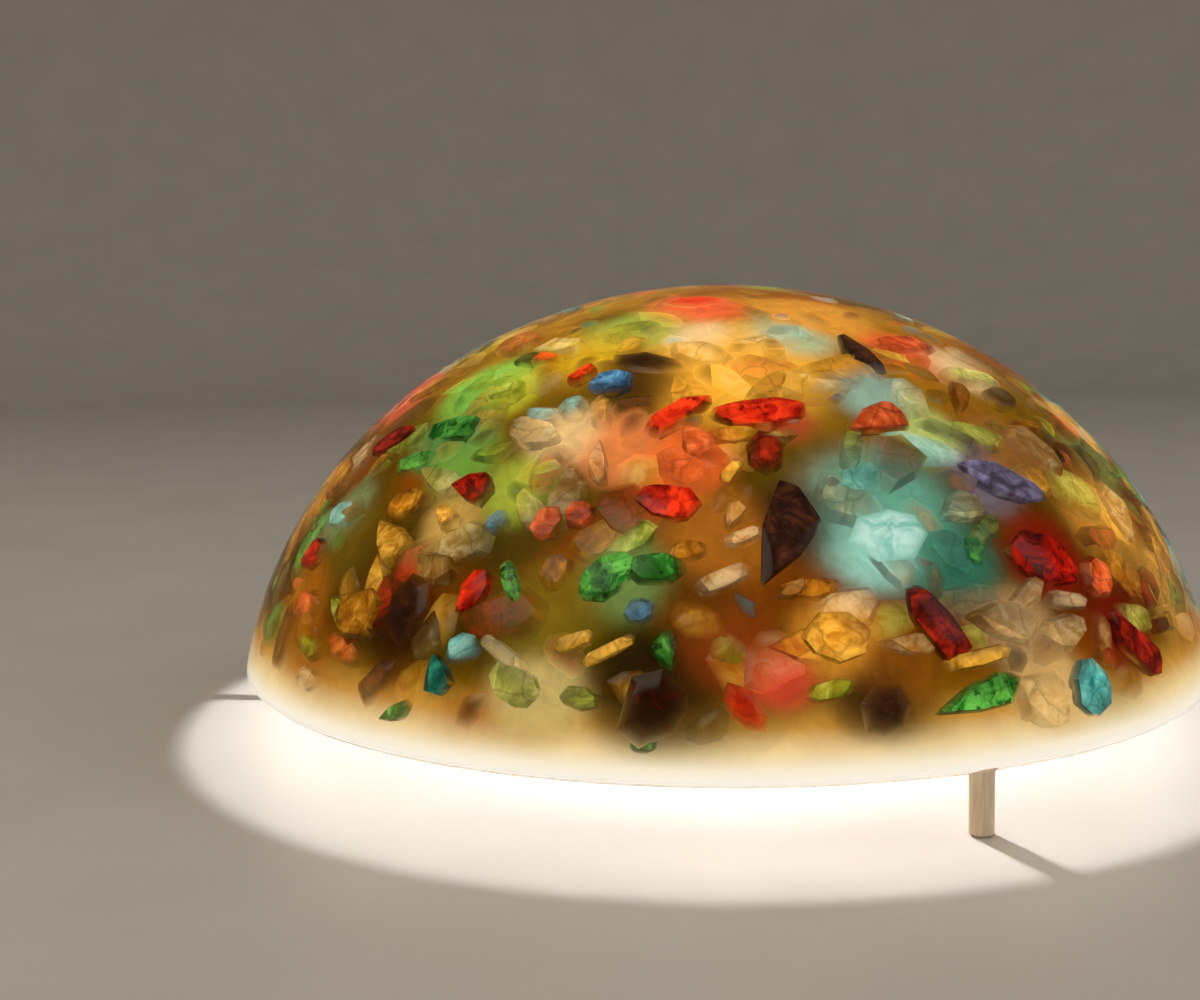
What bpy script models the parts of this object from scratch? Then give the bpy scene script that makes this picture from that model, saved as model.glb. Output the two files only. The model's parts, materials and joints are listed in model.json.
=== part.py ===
# Dome lamp: a cast resin dome set with glass chips stands on three dowel legs, over a small base
# with a capsule bulb. Metres, +Z up, with the origin on the table, under the crown of the dome.
import math

import bmesh
import bpy
from mathutils import Matrix, Vector

for leftover in list(bpy.data.objects):
    bpy.data.objects.remove(leftover, do_unlink=True)

# Fits
SEAT_GAP = 0.0003           # left between pieces that rest on or sit in each other
SMOOTH_ANGLE = 35           # degrees; sharper edges show

# Resin dome: part of an ellipsoid, outside and inside
RIM_RADIUS = 0.140
DOME_RISE = 0.109           # rim to outer crown
EQUATOR_DROP = 0.020        # how far the widest circle would lie below the rim
WALL_AT_RIM = 0.022
WALL_AT_CROWN = 0.018
RIM_ROUNDING = 0.003
DOME_SIDES = 64
OUTER_RINGS = 13
INNER_RINGS = 10
ROUNDING_STEPS = 3

# Dowel legs, glued into the rim
LEG_COUNT = 3
FIRST_LEG_ANGLE = -62.6     # degrees from +X
LEG_DIAMETER = 0.006
LEG_STAND = 0.0175          # table to rim
LEG_SEAT = 0.016            # depth in the rim
LEG_CHAMFER = 0.0006
LEG_SIDES = 20

# Glass chips, set just under the dome's outer face
CHIP_RECESS = 0.0004        # below the outer face
CHIP_GAP = 0.0004           # all round, in its pocket
CHIP_DEPTH = 0.008
CHIP_MOUTH = 0.90           # the outline at the face, then at the girdle and at the bottom
CHIP_BOTTOM = 0.60
CHIP_GIRDLE = 0.35          # how far down the widest outline lies
CHIP_OVERSHOOT = 0.002      # past the face, before it is trimmed

# Base disc and felt
FELT_THICKNESS = 0.002
FELT_INSET = 0.003          # inside the edge of the base disc
BASE_RADIUS = 0.045
BASE_HEIGHT = 0.018
BASE_ROUNDING = 0.004
BASE_FOOT_CHAMFER = 0.001
BASE_SIDES = 56
RECESS_RADIUS = 0.027
RECESS_DEPTH = 0.011
LEAD_HOLE_ROOM = 0.0021     # round the two leads
CABLE_SLOT_WIDTH = 0.008
CABLE_SLOT_DEPTH = 0.007

# Lampholder with two spring contacts
HOLDER_RADIUS = 0.0125
HOLDER_HEIGHT = 0.026
HOLDER_ROUNDING = 0.0015
HOLDER_ROUNDING_STEPS = 2
HOLDER_SIDES = 40
EAR_THICKNESS = 0.004
EAR_WIDTH = 0.011
EAR_HEAD_ROOM = 0.0021      # screw head to the round of the body
EAR_STEPS = 8
PIN_PITCH = 0.009
SOCKET_ROOM = 0.0004        # contact to socket wall
SOCKET_END_ROOM = 0.001     # pin to socket end
SOCKET_SPARE = 0.0045       # below the pin
CONTACT_THICKNESS = 0.0004
CONTACT_LAP = 0.0002        # past each side of the pin
CONTACT_SETBACK = 0.0025    # below the holder's top
PIN_CLEARANCE = 0.0004      # pin to contact leaf, and lead to its holes

# Screws
SCREW_SHANK = 0.0030
SCREW_HEAD = 0.0058
SCREW_HEAD_HEIGHT = 0.0018
SCREW_FLAT_SHARE = 0.7      # of the head, inside its sloped edge
SCREW_SLOPE_SHARE = 0.4     # of the head's height
SCREW_GRIP = 0.005          # depth in the wood
SCREW_SIDES = 16
SCREW_CLEARANCE = 0.0003

# Terminal block and leads in the wiring recess
BLOCK_LENGTH = 0.014
BLOCK_WIDTH = 0.015
BLOCK_WALL_ROOM = 0.003     # corner to the recess wall
BLOCK_FELT_ROOM = 0.0012    # its screw to the felt
BLOCK_BORE_PITCH = 0.0078
LEAD_DIAMETER = 0.0018
LEAD_ENTRY = 0.004          # how far a lead runs into the block
LEAD_BEND_SHARE = 0.55      # of the way from the axis to the block
LEAD_BEND_POINTS = 7

# Capsule bulb
CAPSULE_SKIRT = 0.0022      # outside the pin holes
CAPSULE_HOUSING = 0.009     # height of the housing below the cover
HOUSING_TAPER = 0.0012
SPIGOT_HEIGHT = 0.003
COVER_WALL = 0.0009
COVER_HEIGHT = 0.033
COVER_STEPS = 6             # in the quarter turn of its end
CAPSULE_SIDES = 32
PIN_WIRE = 0.0010
PIN_LOOP = 0.0032           # loop width, between wire centres
PIN_LENGTH = 0.009
PIN_ROOT = 0.002            # depth in the housing
PIN_BEND_STEPS = 8
BOARD_WIDTH = 0.0062
BOARD_THICKNESS = 0.0014
BOARD_HEADROOM = 0.004      # under the end of the cover
LED_SIZE = 0.0030
LED_THICKNESS = 0.0007
LED_ROWS = 4

# Worked-out sizes
OUTER_HEIGHT = DOME_RISE + EQUATOR_DROP
OUTER_RADIUS = RIM_RADIUS / math.sqrt(1 - (EQUATOR_DROP / OUTER_HEIGHT) ** 2)
INNER_HEIGHT = OUTER_HEIGHT - WALL_AT_CROWN
INNER_RIM = RIM_RADIUS - WALL_AT_RIM
INNER_RADIUS = INNER_RIM / math.sqrt(1 - (EQUATOR_DROP / INNER_HEIGHT) ** 2)
DOME_CENTRE = LEG_STAND - EQUATOR_DROP
RIM_LATITUDE = math.degrees(math.asin(EQUATOR_DROP / OUTER_HEIGHT))
LEG_CIRCLE = RIM_RADIUS - WALL_AT_RIM / 2
BASE_FOOT = FELT_THICKNESS + SEAT_GAP
BASE_TOP = BASE_FOOT + BASE_HEIGHT
RECESS_CEILING = BASE_FOOT + RECESS_DEPTH
HOLDER_FOOT = BASE_TOP + SEAT_GAP
HOLDER_TOP = HOLDER_FOOT + HOLDER_HEIGHT
EAR_REACH = HOLDER_RADIUS + SCREW_HEAD / 2 + EAR_HEAD_ROOM
CONTACT_BORE = PIN_WIRE + 2 * PIN_CLEARANCE
CONTACT_WIDTH = PIN_LOOP + PIN_WIRE + 2 * CONTACT_LAP
SOCKET_WIDTH = CONTACT_BORE + 2 * (CONTACT_THICKNESS + SOCKET_ROOM)
SOCKET_LENGTH = PIN_LOOP + PIN_WIRE + 2 * SOCKET_END_ROOM
SOCKET_DEPTH = PIN_LENGTH + PIN_WIRE / 2 + SOCKET_SPARE
SOCKET_FLOOR = HOLDER_TOP - SOCKET_DEPTH
LEAD_HOLE_RADIUS = PIN_PITCH / 2 + LEAD_DIAMETER / 2 + LEAD_HOLE_ROOM
BLOCK_TOP = RECESS_CEILING - SEAT_GAP
BLOCK_FOOT = BASE_FOOT + BLOCK_FELT_ROOM + SCREW_HEAD_HEIGHT + SEAT_GAP
BLOCK_FAR = math.sqrt((RECESS_RADIUS - BLOCK_WALL_ROOM) ** 2 - (BLOCK_WIDTH / 2) ** 2)
BLOCK_NEAR = BLOCK_FAR - BLOCK_LENGTH
BLOCK_MIDDLE = (BLOCK_FAR + BLOCK_NEAR) / 2
HOUSING_FOOT = HOLDER_TOP + SEAT_GAP
HOUSING_TOP = HOUSING_FOOT + CAPSULE_HOUSING
CAPSULE_RADIUS = PIN_PITCH / 2 + PIN_WIRE / 2 + SEAT_GAP + CAPSULE_SKIRT
SPIGOT_RADIUS = CAPSULE_RADIUS - COVER_WALL - SEAT_GAP
BOARD_HEIGHT = COVER_HEIGHT - SPIGOT_HEIGHT - BOARD_HEADROOM

# Outlines of broken glass, anticlockwise, from -1 to 1 along a chip's length and across its width
CHIP_CUTS = {
    "slab": ((0.95, -0.15), (1, 0.6), (0.45, 1), (-0.55, 0.75), (-1, 0.3), (-0.45, -0.8), (0.15, -1)),
    "block": ((0.7, -0.8), (1, 0.15), (0.55, 0.95), (-0.8, 0.8), (-1, -0.05), (-0.35, -0.85), (0.3, -1)),
    "shard": ((0.35, -1), (0.95, -0.2), (1, 0.35), (0.1, 0.6), (-1, 0.35), (-0.3, -0.55)),
    "prism": ((0.75, -0.8), (1, -0.35), (0.95, 0.75), (0.2, 0.95), (-0.8, 0.7), (-1, 0.1), (-0.4, -0.85)),
    "drop": ((0.4, -0.95), (1, -0.2), (0.9, 0.55), (0.3, 0.95), (-0.55, 0.85), (-1, 0.1), (-0.5, -0.8)),
    "wedge": ((0.6, -0.9), (1, 0.2), (0.55, 1), (-0.2, 0.85), (-1, 0.2), (-0.1, -0.6)),
    "lump": ((0.9, -0.4), (0.95, 0.5), (0.2, 1), (-0.6, 0.75), (-1, -0.3), (-0.55, -0.85), (0.2, -1)),
    "splinter": ((0.55, -0.7), (1, 0.05), (0.7, 0.7), (-0.3, 1), (-1, 0.25), (-0.75, -0.55), (-0.1, -0.95)),
}

# Chips seen in the dome: glass, cut, azimuth and rise above the rim in degrees, length and width in mm,
# and the turn of the length away from level, in degrees
FRONT_CHIPS = (
    ("ruby", "slab", -84, 41, 25, 10, 2),
    ("ruby", "block", -96, 29.4, 16, 9.5, -6),
    ("smoke", "shard", -82.7, 25.6, 28, 17, 76),
    ("emerald", "drop", -102, 20.8, 16, 10, 46),
    ("garnet", "prism", -68, 15.6, 21, 9.5, -60),
    ("turquoise", "drop", -50.3, 6.6, 14.5, 13, 80),
    ("garnet", "prism", -41.1, 10, 23, 10.5, -45),
    ("ruby", "lump", -51.2, 20.8, 22, 14, -30),
    ("aqua", "drop", -70.8, 24.8, 20, 14, 8),
    ("violet", "splinter", -51, 30, 26, 9, -30),
    ("coral", "wedge", -65.5, 39.2, 20, 11, 20),
    ("smoke", "shard", -59, 51.5, 21, 9, -83),
    ("smoke", "lump", -74.5, 7.4, 13.5, 11, 30),
    ("garnet", "block", -96.2, 7.8, 18, 14.5, 70),
    ("ruby", "splinter", -87.6, 7.9, 14, 8, -50),
    ("amber", "lump", -78.4, 14.8, 16, 12, -15),
    ("ruby", "wedge", -123.2, 30, 13, 10, 5),
    ("ruby", "splinter", -117.2, 18.4, 13, 8, 58),
    ("smoke", "lump", -125.2, 15.6, 18, 14, 80),
    ("teal", "wedge", -119.4, 9.4, 10.5, 8, -70),
    ("lime", "block", -110.2, 9.3, 14, 9, -15),
    ("coral", "drop", -110.2, 26.5, 10, 7.5, 75),
    ("emerald", "prism", -135, 37.5, 18, 9, 15),
    ("smoke", "splinter", -103.5, 49.6, 22, 10, -15),
    ("clear", "slab", -118.5, 38, 18, 9, -20),
    ("garnet", "splinter", -149, 35, 20, 9.5, 28),
    ("ruby", "lump", -100, 66.5, 18, 12, 0),
)

# Chips round the back, in level rows: rise, first azimuth, spacing, count
BACK_ROWS = ((11, -12, 28, 7), (30, 5, 55, 3), (50, 25, 90, 2))
BACK_GLASS = ("aqua", "ruby", "lime", "smoke", "amber", "turquoise", "emerald", "garnet", "clear")
BACK_LENGTH = 20
BACK_WIDTH = 13
BACK_TURN_STEP = 67

# Colour, roughness and metallic value of each finish
FINISHES = {
    "resin": ((0.80, 0.58, 0.26), 0.12, 0.0),
    "ruby": ((0.58, 0.01, 0.01), 0.10, 0.0),
    "garnet": ((0.22, 0.01, 0.01), 0.10, 0.0),
    "coral": ((0.75, 0.20, 0.12), 0.10, 0.0),
    "amber": ((0.70, 0.30, 0.02), 0.10, 0.0),
    "lime": ((0.45, 0.52, 0.08), 0.10, 0.0),
    "emerald": ((0.03, 0.26, 0.05), 0.10, 0.0),
    "teal": ((0.01, 0.12, 0.10), 0.10, 0.0),
    "turquoise": ((0.12, 0.45, 0.42), 0.10, 0.0),
    "aqua": ((0.40, 0.68, 0.70), 0.10, 0.0),
    "violet": ((0.16, 0.12, 0.40), 0.10, 0.0),
    "clear": ((0.80, 0.74, 0.58), 0.10, 0.0),
    "smoke": ((0.02, 0.01, 0.01), 0.12, 0.0),
    "beech": ((0.58, 0.40, 0.25), 0.55, 0.0),
    "felt": ((0.06, 0.05, 0.05), 0.95, 0.0),
    "steatite": ((0.82, 0.80, 0.75), 0.35, 0.0),
    "bronze": ((0.62, 0.36, 0.14), 0.30, 1.0),
    "plated steel": ((0.60, 0.60, 0.58), 0.30, 1.0),
    "nylon": ((0.75, 0.75, 0.70), 0.50, 0.0),
    "lead sleeve": ((0.78, 0.76, 0.70), 0.50, 0.0),
    "housing": ((0.80, 0.80, 0.78), 0.35, 0.0),
    "cover": ((0.90, 0.88, 0.80), 0.08, 0.0),
    "LED board": ((0.85, 0.78, 0.50), 0.40, 0.0),
}


def finish(name):
    material = bpy.data.materials.get(name)
    if material is None:
        colour, roughness, metallic = FINISHES[name]
        material = bpy.data.materials.new(name)
        material.use_nodes = True
        shader = material.node_tree.nodes["Principled BSDF"]
        shader.inputs["Base Color"].default_value = (*colour, 1.0)
        shader.inputs["Roughness"].default_value = roughness
        shader.inputs["Metallic"].default_value = metallic
    return material


def add_object(name, mesh, parent=None, material=None, smooth=False):
    item = bpy.data.objects.new(name, mesh)
    bpy.context.collection.objects.link(item)
    item.parent = parent
    if material:
        mesh.materials.append(finish(material))
    if smooth:
        mesh.shade_smooth()
        mesh.set_sharp_from_angle(angle=math.radians(SMOOTH_ANGLE))
    return item


def to_mesh(name, form):
    bmesh.ops.recalc_face_normals(form, faces=form.faces)
    mesh = bpy.data.meshes.new(name)
    form.to_mesh(mesh)
    form.free()
    return mesh


# A turned form: the profile is (radius, height) from the top, and points at radius 0 close it
def turned(name, profile, sides, closed_ring=False):
    form = bmesh.new()
    rings = []
    for radius, height in profile:
        if radius == 0:
            rings.append([form.verts.new((0, 0, height))])
            continue
        turns = [2 * math.pi * k / sides for k in range(sides)]
        rings.append([form.verts.new((radius * math.cos(t), radius * math.sin(t), height)) for t in turns])
    pairs = list(zip(rings, rings[1:]))
    if closed_ring:
        pairs.append((rings[-1], rings[0]))
    for upper, lower in pairs:
        for k in range(sides):
            after = (k + 1) % sides
            corners = [upper[k % len(upper)], lower[k % len(lower)]]
            corners += [lower[after % len(lower)], upper[after % len(upper)]]
            form.faces.new(list(dict.fromkeys(corners)))
    return to_mesh(name, form)


def block(name, low, high):
    form = bmesh.new()
    middle = Matrix.Translation((Vector(low) + Vector(high)) / 2)
    size = Vector(high) - Vector(low)
    bmesh.ops.create_cube(form, size=1, matrix=middle @ Matrix.Diagonal((*size, 1)))
    return to_mesh(name, form)


def extruded(name, section, travel):
    form = bmesh.new()
    face = form.faces.new([form.verts.new(corner) for corner in section])
    swept = bmesh.ops.extrude_face_region(form, geom=[face])["geom"]
    moved = [part for part in swept if isinstance(part, bmesh.types.BMVert)]
    bmesh.ops.translate(form, verts=moved, vec=travel)
    return to_mesh(name, form)


def rod(name, radius, low, high, sides):
    return turned(name, ((0, high), (radius, high), (radius, low), (0, low)), sides)


# A quarter turn of points from one angle to another, round a centre
def arc(centre, radius, first, last, steps):
    points = []
    for k in range(steps + 1):
        angle = math.radians(first + (last - first) * k / steps)
        points.append((centre[0] + radius * math.cos(angle), centre[1] + radius * math.sin(angle)))
    return points


def cut(item, cutter, operation="DIFFERENCE"):
    cutter.hide_render = True
    cutter.display_type = "WIRE"
    boolean = item.modifiers.new(operation.title() + " " + cutter.name, "BOOLEAN")
    boolean.operation = operation
    boolean.solver = "EXACT"
    boolean.object = cutter


def tube(name, points, radius, parent, material, resolution=2):
    curve = bpy.data.curves.new(name, "CURVE")
    curve.dimensions = "3D"
    curve.bevel_depth = radius
    curve.bevel_resolution = resolution
    curve.use_fill_caps = True
    spline = curve.splines.new("POLY")
    spline.points.add(len(points) - 1)
    for slot, point in zip(spline.points, points):
        slot.co = (*point, 1)
    curve.materials.append(finish(material))
    item = bpy.data.objects.new(name, curve)
    bpy.context.collection.objects.link(item)
    item.parent = parent
    return item


def joint_empty(name):
    empty = bpy.data.objects.new(name, None)
    bpy.context.collection.objects.link(empty)
    return empty


# The outer face of the dome, set in by a given depth, from the crown to the rim's rounding
def outer_face(inset):
    radius, height = OUTER_RADIUS - inset, OUTER_HEIGHT - inset
    lowest = math.asin((EQUATOR_DROP + RIM_ROUNDING) / height)
    points = [(0, DOME_CENTRE + height)]
    for k in range(1, OUTER_RINGS + 1):
        latitude = math.pi / 2 + (lowest - math.pi / 2) * k / OUTER_RINGS
        points.append((radius * math.cos(latitude), DOME_CENTRE + height * math.sin(latitude)))
    return points


def inner_face():
    lowest = math.asin((EQUATOR_DROP + RIM_ROUNDING) / INNER_HEIGHT)
    points = []
    for k in range(INNER_RINGS):
        latitude = lowest + (math.pi / 2 - lowest) * k / INNER_RINGS
        points.append((INNER_RADIUS * math.cos(latitude), DOME_CENTRE + INNER_HEIGHT * math.sin(latitude)))
    return points + [(0, DOME_CENTRE + INNER_HEIGHT)]


def leg_angles():
    return [math.radians(FIRST_LEG_ANGLE + 360 / LEG_COUNT * k) for k in range(LEG_COUNT)]


def make_dome(parent):
    outer, inner = outer_face(0), inner_face()
    turn_height = LEG_STAND + RIM_ROUNDING
    outer_turn = arc((outer[-1][0] - RIM_ROUNDING, turn_height), RIM_ROUNDING, 0, -90, ROUNDING_STEPS)
    inner_turn = arc((inner[0][0] + RIM_ROUNDING, turn_height), RIM_ROUNDING, -90, -180, ROUNDING_STEPS)
    profile = outer + outer_turn[1:] + inner_turn[:-1] + inner
    dome = add_object("resin_dome", turned("resin_dome", profile, DOME_SIDES), parent, "resin", True)
    bore_radius = LEG_DIAMETER / 2 + SEAT_GAP
    for k, angle in enumerate(leg_angles()):
        low, high = LEG_STAND - RIM_ROUNDING, LEG_STAND + LEG_SEAT + SEAT_GAP
        bore = add_object(f"leg_bore_{k + 1}", rod("leg_bore", bore_radius, low, high, LEG_SIDES), parent)
        bore.location = (LEG_CIRCLE * math.cos(angle), LEG_CIRCLE * math.sin(angle), 0)
        cut(dome, bore)
    return dome


def make_legs(parent):
    radius, top = LEG_DIAMETER / 2, LEG_STAND + LEG_SEAT
    worn = radius - LEG_CHAMFER
    profile = ((0, top), (worn, top), (radius, top - LEG_CHAMFER))
    profile += ((radius, LEG_CHAMFER), (worn, 0), (0, 0))
    for angle, place in zip(leg_angles(), ("front", "rear", "left")):
        leg = add_object(f"dowel_leg_{place}", turned("dowel_leg", profile, LEG_SIDES), parent, "beech", True)
        leg.location = (LEG_CIRCLE * math.cos(angle), LEG_CIRCLE * math.sin(angle), 0)


# Where a chip lies: its outward axis is the normal of the dome's outer face
def chip_place(azimuth, rise, turn):
    a, latitude = math.radians(azimuth), math.radians(RIM_LATITUDE + rise)
    flat = Vector((math.cos(a), math.sin(a), 0))
    spot = flat * (OUTER_RADIUS * math.cos(latitude))
    spot.z = DOME_CENTRE + OUTER_HEIGHT * math.sin(latitude)
    outward = flat * (math.cos(latitude) / OUTER_RADIUS)
    outward.z = math.sin(latitude) / OUTER_HEIGHT
    outward.normalize()
    level = Vector((-math.sin(a), math.cos(a), 0))
    along = Matrix.Rotation(math.radians(turn), 3, outward) @ level
    across = outward.cross(along)
    return Matrix.Translation(spot) @ Matrix((along, across, outward)).transposed().to_4x4()


# An outline moved out by a distance, square to its sides
def grown(outline, distance):
    count = len(outline)
    sides = [(outline[(k + 1) % count] - outline[k]).normalized() for k in range(count)]
    normals = [Vector((side.y, -side.x)) for side in sides]
    moved = []
    for k, corner in enumerate(outline):
        before, after = normals[k - 1], normals[k]
        moved.append(corner + (before + after) * distance / (1 + before.dot(after)))
    return moved


# A chip is two frusta, widest at the girdle, so the resin holds it; grow makes its pocket
def chip_form(form, outline, depth, grow, place):
    levels = ((CHIP_MOUTH, CHIP_OVERSHOOT + grow), (1.0, -CHIP_GIRDLE * depth), (CHIP_BOTTOM, -depth - grow))
    rings = []
    for scale, height in levels:
        ring = grown([point * scale for point in outline], grow)
        rings.append([form.verts.new(place @ Vector((*point, height))) for point in ring])
    count = len(outline)
    for upper, lower in zip(rings, rings[1:]):
        for k in range(count):
            after = (k + 1) % count
            form.faces.new((upper[k], lower[k], lower[after], upper[after]))
    form.faces.new(rings[0])
    form.faces.new(list(reversed(rings[-1])))


def all_chips():
    yield from FRONT_CHIPS
    cuts = list(CHIP_CUTS)
    count = 0
    for rise, first, spacing, copies in BACK_ROWS:
        for k in range(copies):
            glass, cut_name = BACK_GLASS[count % len(BACK_GLASS)], cuts[count % len(cuts)]
            yield glass, cut_name, first + spacing * k, rise, BACK_LENGTH, BACK_WIDTH, BACK_TURN_STEP * count
            count += 1


def make_chips(parent, dome):
    millimetre = 0.001
    skin = outer_face(CHIP_RECESS)
    skin += [(0, skin[-1][1])]
    trim = add_object("chip_trim", turned("chip_trim", skin, DOME_SIDES), parent)
    pockets = bmesh.new()
    for number, (glass, cut_name, azimuth, rise, length, width, turn) in enumerate(all_chips(), 1):
        place = chip_place(azimuth, rise, turn)
        reach = Vector((length, width)) * millimetre / 2
        outline = [Vector((along * reach.x, across * reach.y)) for along, across in CHIP_CUTS[cut_name]]
        form = bmesh.new()
        chip_form(form, outline, CHIP_DEPTH, 0, Matrix())
        name = f"{glass}_chip_{number:02d}"
        chip = add_object(name, to_mesh(name, form), parent, glass)
        chip.matrix_local = place
        cut(chip, trim, "INTERSECT")
        chip_form(pockets, outline, CHIP_DEPTH, CHIP_GAP, place)
    cut(dome, add_object("chip_pockets", to_mesh("chip_pockets", pockets), parent))


def make_base():
    radius, inset = BASE_RADIUS, BASE_RADIUS - FELT_INSET
    crown = arc((radius - BASE_ROUNDING, BASE_TOP - BASE_ROUNDING), BASE_ROUNDING, 90, 0, ROUNDING_STEPS)
    foot = [(radius, BASE_FOOT + BASE_FOOT_CHAMFER), (radius - BASE_FOOT_CHAMFER, BASE_FOOT)]
    recess = [(RECESS_RADIUS, BASE_FOOT), (RECESS_RADIUS, RECESS_CEILING), (LEAD_HOLE_RADIUS, RECESS_CEILING)]
    profile = [(LEAD_HOLE_RADIUS, BASE_TOP)] + crown + foot + recess
    disc = add_object("base_disc", turned("base_disc", profile, BASE_SIDES, True), None, "beech", True)
    half = CABLE_SLOT_WIDTH / 2
    low = (-half, RECESS_RADIUS / 2, BASE_FOOT - SEAT_GAP)
    high = (half, BASE_RADIUS * 2, BASE_FOOT + CABLE_SLOT_DEPTH)
    cut(disc, add_object("cable_slot", block("cable_slot", low, high)))
    add_object("felt_pad", rod("felt_pad", inset, 0, FELT_THICKNESS, BASE_SIDES), None, "felt", True)
    return disc


def screw_hole(item, name, x, y, low, high):
    hole = add_object(name, rod(name, SCREW_SHANK / 2 + SCREW_CLEARANCE, low, high, SCREW_SIDES))
    hole.location = (x, y, 0)
    cut(item, hole)


# The head rests on the seat, above or below it, and the shank goes into the wood
def make_screw(name, x, y, seat, shank, upward):
    way = 1 if upward else -1
    near = seat - way * SEAT_GAP
    head, slope = SCREW_HEAD / 2, SCREW_HEAD_HEIGHT * SCREW_SLOPE_SHARE
    outer = near - way * SCREW_HEAD_HEIGHT
    tip = near + way * shank
    profile = [(0, outer), (head * SCREW_FLAT_SHARE, outer), (head, outer + way * slope), (head, near)]
    profile += [(SCREW_SHANK / 2, near), (SCREW_SHANK / 2, tip), (0, tip)]
    screw = add_object(name, turned(name, profile, SCREW_SIDES), None, "plated steel", True)
    screw.location = (x, y, 0)


def make_lampholder(disc):
    turn = (HOLDER_RADIUS - HOLDER_ROUNDING, HOLDER_TOP - HOLDER_ROUNDING)
    edge = arc(turn, HOLDER_ROUNDING, 90, 0, HOLDER_ROUNDING_STEPS)
    profile = [(0, HOLDER_TOP)] + edge + [(HOLDER_RADIUS, HOLDER_FOOT), (0, HOLDER_FOOT)]
    body = turned("lampholder", profile, HOLDER_SIDES)
    holder = add_object("lampholder_body", body, None, "steatite", True)
    ear_top = HOLDER_FOOT + EAR_THICKNESS
    ends = arc((EAR_REACH, 0), EAR_WIDTH / 2, -90, 90, EAR_STEPS)
    ends += arc((-EAR_REACH, 0), EAR_WIDTH / 2, 90, 270, EAR_STEPS)
    plate = [(x, y, HOLDER_FOOT) for x, y in ends]
    cut(holder, add_object("ear_plate", extruded("ear_plate", plate, (0, 0, EAR_THICKNESS))), "UNION")
    for side, label in ((-1, "left"), (1, "right")):
        wood = HOLDER_FOOT - SCREW_GRIP - SCREW_CLEARANCE
        for item, low, high in ((holder, HOLDER_FOOT - SEAT_GAP / 2, BASE_TOP + HOLDER_HEIGHT),
                                (disc, wood, BASE_TOP + SEAT_GAP / 2)):
            screw_hole(item, f"{item.name}_screw_hole_{label}", side * EAR_REACH, 0, low, high)
        make_screw(f"holder_screw_{label}", side * EAR_REACH, 0, ear_top, EAR_THICKNESS + SCREW_GRIP, False)
        make_socket(holder, side, label)
    return holder


# A socket takes one pin of the bulb, between the two leaves of a folded contact
def make_socket(holder, side, label):
    x = side * PIN_PITCH / 2
    low = (x - SOCKET_WIDTH / 2, -SOCKET_LENGTH / 2, SOCKET_FLOOR)
    high = (x + SOCKET_WIDTH / 2, SOCKET_LENGTH / 2, HOLDER_TOP + SEAT_GAP)
    cut(holder, add_object(f"socket_{label}", block("socket", low, high)))
    passage = rod("lead_passage", LEAD_DIAMETER / 2 + PIN_CLEARANCE, HOLDER_FOOT - SEAT_GAP,
                  SOCKET_FLOOR + SEAT_GAP, SCREW_SIDES)
    hole = add_object(f"lead_passage_{label}", passage)
    hole.location.x = x
    cut(holder, hole)
    inside = CONTACT_BORE / 2
    outside = inside + CONTACT_THICKNESS
    foot = SOCKET_FLOOR + SEAT_GAP
    top = HOLDER_TOP - CONTACT_SETBACK
    web = foot + CONTACT_THICKNESS
    outline = ((-outside, foot), (outside, foot), (outside, top), (inside, top))
    outline += ((inside, web), (-inside, web), (-inside, top), (-outside, top))
    section = [(x + across, -CONTACT_WIDTH / 2, height) for across, height in outline]
    clip = extruded("contact_clip", section, (0, CONTACT_WIDTH, 0))
    add_object(f"contact_clip_{label}", clip, None, "bronze")


def make_terminal_block(disc):
    low = (-BLOCK_WIDTH / 2, BLOCK_NEAR, BLOCK_FOOT)
    high = (BLOCK_WIDTH / 2, BLOCK_FAR, BLOCK_TOP)
    body = add_object("terminal_block", block("terminal_block", low, high), None, "nylon")
    bore_height = (BLOCK_FOOT + BLOCK_TOP) / 2
    for side, label in ((-1, "left"), (1, "right")):
        bore = rod("block_bore", LEAD_DIAMETER / 2 + PIN_CLEARANCE, -BLOCK_LENGTH, BLOCK_LENGTH, SCREW_SIDES)
        hole = add_object(f"block_bore_{label}", bore)
        hole.rotation_euler.x = math.pi / 2
        hole.location = (side * BLOCK_BORE_PITCH / 2, BLOCK_MIDDLE, bore_height)
        cut(body, hole)
        make_lead(side, label, bore_height)
    screw_hole(body, "block_screw_hole", 0, BLOCK_MIDDLE, BASE_FOOT, BASE_TOP)
    wood = (BASE_TOP - RECESS_CEILING) / 2
    screw_hole(disc, "disc_block_hole", 0, BLOCK_MIDDLE, BLOCK_TOP, RECESS_CEILING + wood)
    make_screw("block_screw", 0, BLOCK_MIDDLE, BLOCK_FOOT, BLOCK_TOP - BLOCK_FOOT + wood, True)


# A lead drops from its contact through the base, then bends back into the terminal block
def make_lead(side, label, bore_height):
    x_top, x_end = side * PIN_PITCH / 2, side * BLOCK_BORE_PITCH / 2
    bend = BLOCK_NEAR * LEAD_BEND_SHARE
    bend_top = bore_height + bend
    y_end = BLOCK_NEAR + LEAD_ENTRY
    points = [(x_top, 0, SOCKET_FLOOR), (x_top, 0, (SOCKET_FLOOR + bend_top) / 2)]
    for along, height in arc((bend, bend_top), bend, 180, 270, LEAD_BEND_POINTS):
        points.append((x_top + (x_end - x_top) * along / BLOCK_NEAR, along, height))
    points += [(x_end, BLOCK_NEAR, bore_height), (x_end, y_end, bore_height)]
    tube(f"lead_{label}", points, LEAD_DIAMETER / 2, None, "lead sleeve")


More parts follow.
